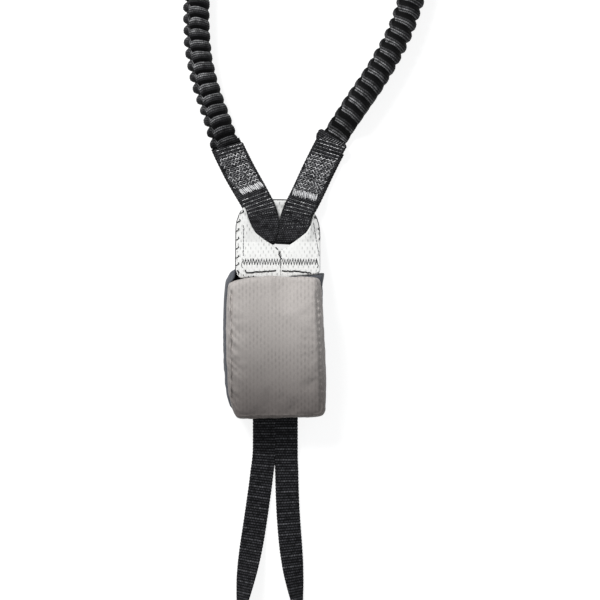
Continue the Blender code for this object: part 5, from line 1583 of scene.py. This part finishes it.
# Dark sewing on the white eye, in millimetres across and up the front. A run's wander and step are in metres,
# and its share is of the thread's radius.
eyeSewing = {
    "runs": {
        "hook": (0.0001, 0.0004), "inner": (0.00005, 0.0006), "zigzag": (0.00004, 0.0005), "tail": (0.00015, 0.0006),
        "row": (0.00028, 0.0009), "corner": (0.0001, 0.0004), "dot": (0.0, 0.0003), "slitTail": (0.0001, 0.0006),
    },
    "share": {"inner": 0.7, "zigzag": 0.62, "dim": 0.6, "box": 1.35, "slit": 0.6}, "rest": 0.5,
    "fromFlapEdge": 0.00025, "fromWindow": 0.02,
    "thread": 0.00038, "inset": 0.00035, "edgeFrom": 0.0530, "rightEdgeUntil": 0.0774, "belowTop": 0.0022,
    "edgeStep": 0.0011, "edgeWander": {"left": 0.00012, "right": 0.0001}, "sunk": 0.0001, "arch": (152, 30, -2),
    "hooks": (97.2, 90.7, 84.2, 77.8, 71.3, 64.8, 59.4), "hook": ((0.3, -1.0), (1.4, -0.5), (2.6, 0.4), (2.2, 1.2)),
    "rightHooks": ((93.4, 1.6), (85.0, 1.0), (77.6, 0.5)),
    "inner": {"left": ((-22.7, 87.5), (-22.7, 64.8)), "right": ((27.6, 89.5), (32.0, 63.9))},
    "innerStitch": {"long": 1.9, "step": 2.5, "early": 1.2},
    "zigzag": {"level": 61.2, "spans": ((-23.0, 3.0), (5.2, 30.6)), "pitch": 1.9, "height": 2.1, "dark": 0.6,
               "heightDraw": (-0.4, 0.3)},
    "tails": (
        ((-22.6, 62.6), (-23.9, 59.8), (-24.0, 58.0), (-23.1, 56.9)),
        ((29.0, 62.2), (30.6, 60.2), (31.0, 58.4), (30.3, 56.9)),
    ),
    "rows": (((-20.2, 53.3), (-16.0, 53.6), (0.7, 54.8)), ((5.0, 54.8), (18.0, 54.2), (25.9, 53.2))),
    "corners": (
        ((-21.3, 55.4), (-20.9, 54.0), (-20.2, 53.3)), ((-27.0, 55.0), (-26.4, 54.2), (-25.6, 53.4)),
        ((0.5, 71.6), (1.3, 70.9), (1.9, 70.1)),
    ),
    "dots": ((-22.7, 51.6), (-19.0, 50.6), (-15.4, 50.8), (-26.2, 52.6)),
    "slit": ((3.3, 68.6), (2.9, 66.4), (3.8, 64.6), (4.8, 63.2)), "slitTail": ((4.4, 62.0), (4.5, 59.5), (4.0, 56.9)),
}


def onFlap(x, y, lift):
    side = "left" if x < flap["necklineX"] else "right"
    low, high = sorted(flapEdges(side, max(y, eye["bottom"])))
    inside = min(max(x, low + eyeSewing["fromFlapEdge"]), high - eyeSewing["fromFlapEdge"])
    return Vector((x, y, flapTop(side, inside, y) + lift))


def sewEye():
    draw, thread, inset = random.Random(61), eyeSewing["thread"], eyeSewing["inset"]
    share, rest = eyeSewing["share"], thread * eyeSewing["rest"]

    def flapRun(points, kind):
        wander, step = eyeSewing["runs"][kind]
        line = evenLine(inMetres(points), step, 0)
        return [
            onFlap(x + draw.uniform(-wander, wander) * 0.5, y + draw.uniform(-wander, wander), rest) for x, y in line
        ]

    def edgePoint(side, level):
        wander = eyeSewing["edgeWander"][side]
        x = flapEdges(side, level)[0] + (inset if side == "left" else -inset) + draw.uniform(-wander, wander)
        return onFlap(x, level, -eyeSewing["sunk"])

    edge, level = [], eyeSewing["edgeFrom"]
    while level < flap["top"]["left"] - eyeSewing["belowTop"]:
        edge.append(edgePoint("left", level))
        level += eyeSewing["edgeStep"]
    for degrees in range(*eyeSewing["arch"]):
        x, y = archPoint(math.radians(degrees), inset)
        top = eyeBackTop(x, y, inset * 2, eyeSewing["fromWindow"])
        edge.append(Vector((x, y, top + eyeSewing["sunk"])))
    level = flap["top"]["right"] - eyeSewing["belowTop"]
    while level > eyeSewing["rightEdgeUntil"]:
        edge.append(edgePoint("right", level))
        level -= eyeSewing["edgeStep"]
    hooks = []
    for level in eyeSewing["hooks"]:
        outer = flapEdges("left", level * mm)[0] / mm
        hooks.append(flapRun([(outer + x, level + y) for x, y in eyeSewing["hook"]], "hook"))
    for level, long in eyeSewing["rightHooks"]:
        outer = flapEdges("right", level * mm)[0] / mm
        hook = (outer - 0.3, level - 0.8), (outer - 0.4 - long, level), (outer - 0.3, level + 0.9)
        hooks.append(flapRun(hook, "hook"))
    addThread("eyeEdgeThread", [edge, *hooks], thread, darkThread, eyeBackPiece)

    look = eyeSewing["innerStitch"]
    for side, (start, end) in eyeSewing["inner"].items():
        start, end = Vector(start), Vector(end)
        long, runs, done = (end - start).length, [], 0.0
        while done < long - look["early"]:
            ends = [start.lerp(end, at / long) for at in (done, done + look["long"])]
            runs.append(flapRun(ends, "inner"))
            done += look["step"]
        addThread(f"eyeInnerThread.{side}", runs, thread * share["inner"], softThread, flapPieces[side])

    zigzag, runs, dimRuns = eyeSewing["zigzag"], [], []
    for x, end in zigzag["spans"]:
        up = 1
        while x < end:
            levels = []
            for way in (up, -up):
                height = zigzag["height"] + draw.uniform(*zigzag["heightDraw"])
                levels.append(zigzag["level"] + height * way)
            after = x + zigzag["pitch"] / 2
            into = runs if draw.random() < zigzag["dark"] else dimRuns
            into.append(flapRun([(x, levels[0]), (after, levels[1])], "zigzag"))
            x, up = after, -up
    runs += [flapRun(points, "tail") for points in eyeSewing["tails"]]
    addThread("eyeZigzagThread", runs, thread * share["zigzag"], darkThread, flapPieces["left"])
    addThread("eyeZigzagDimThread", dimRuns, thread * share["dim"], softThread, flapPieces["left"])

    runs = [flapRun(points, "row") for points in eyeSewing["rows"]]
    runs += [flapRun(points, "corner") for points in (*eyeSewing["corners"], eyeSewing["slit"])]
    runs += [flapRun([(x - 0.25, y), (x + 0.25, y + 0.1)], "dot") for x, y in eyeSewing["dots"]]
    addThread("eyeBoxThread", runs, thread * share["box"], darkThread, flapPieces["right"])
    tail = flapRun(eyeSewing["slitTail"], "slitTail")
    addThread("eyeSlitThread", [tail], thread * share["slit"], softThread, flapPieces["right"])


sewEye()
print("stage: sewing")

# The carabiners' own solids are kept.
# Hot-forged aluminium, blasted and dark anodised: satin, with a fine even grain.
anodised = plainMaterial(
    "anodisedForgedAluminium", "#4a4c51", {"Metallic": 1.0, "Roughness": 0.38},
    {"mottle": 0.0009, "grain": 0.0009, "detail": 4.0, "stretch": (1, 1, 1), "variation": 0.10, "relief": 0.00003},
)
# Machined aluminium, brushed along the gate: bright, with streaks that run its length.
brushed = plainMaterial(
    "brushedAluminium", "#c9cbd0", {"Metallic": 1.0, "Roughness": 0.28},
    {"mottle": 0.0012, "grain": 0.0012, "detail": 4.0, "stretch": (6, 0.35, 6), "variation": 0.12, "relief": 0.00002},
)
# Turned stainless steel of the pins and wire springs.
steel = plainMaterial(
    "turnedStainlessSteel", "#b8bac0", {"Metallic": 1.0, "Roughness": 0.22},
    {"mottle": 0.0008, "grain": 0.0008, "detail": 4.0, "stretch": (1, 1, 5), "variation": 0.08, "relief": 0.00001},
)
# Glass-filled nylon of the palm lever, moulded with a fine spark finish.
leverNylon = plainMaterial(
    "mouldedGlassNylon", "#8d8681", {"Roughness": 0.5, "Specular IOR Level": 0.4},
    {"mottle": 0.0005, "grain": 0.0005, "detail": 3.0, "variation": 0.08, "relief": 0.00003},
)
for side in bothSides:
    for node, material in zip(carabinerNodes, (anodised, brushed, leverNylon, steel, steel, steel, steel)):
        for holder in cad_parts[f"{node}_{side}"].material_slots:
            holder.material = material
print("stage: metal")
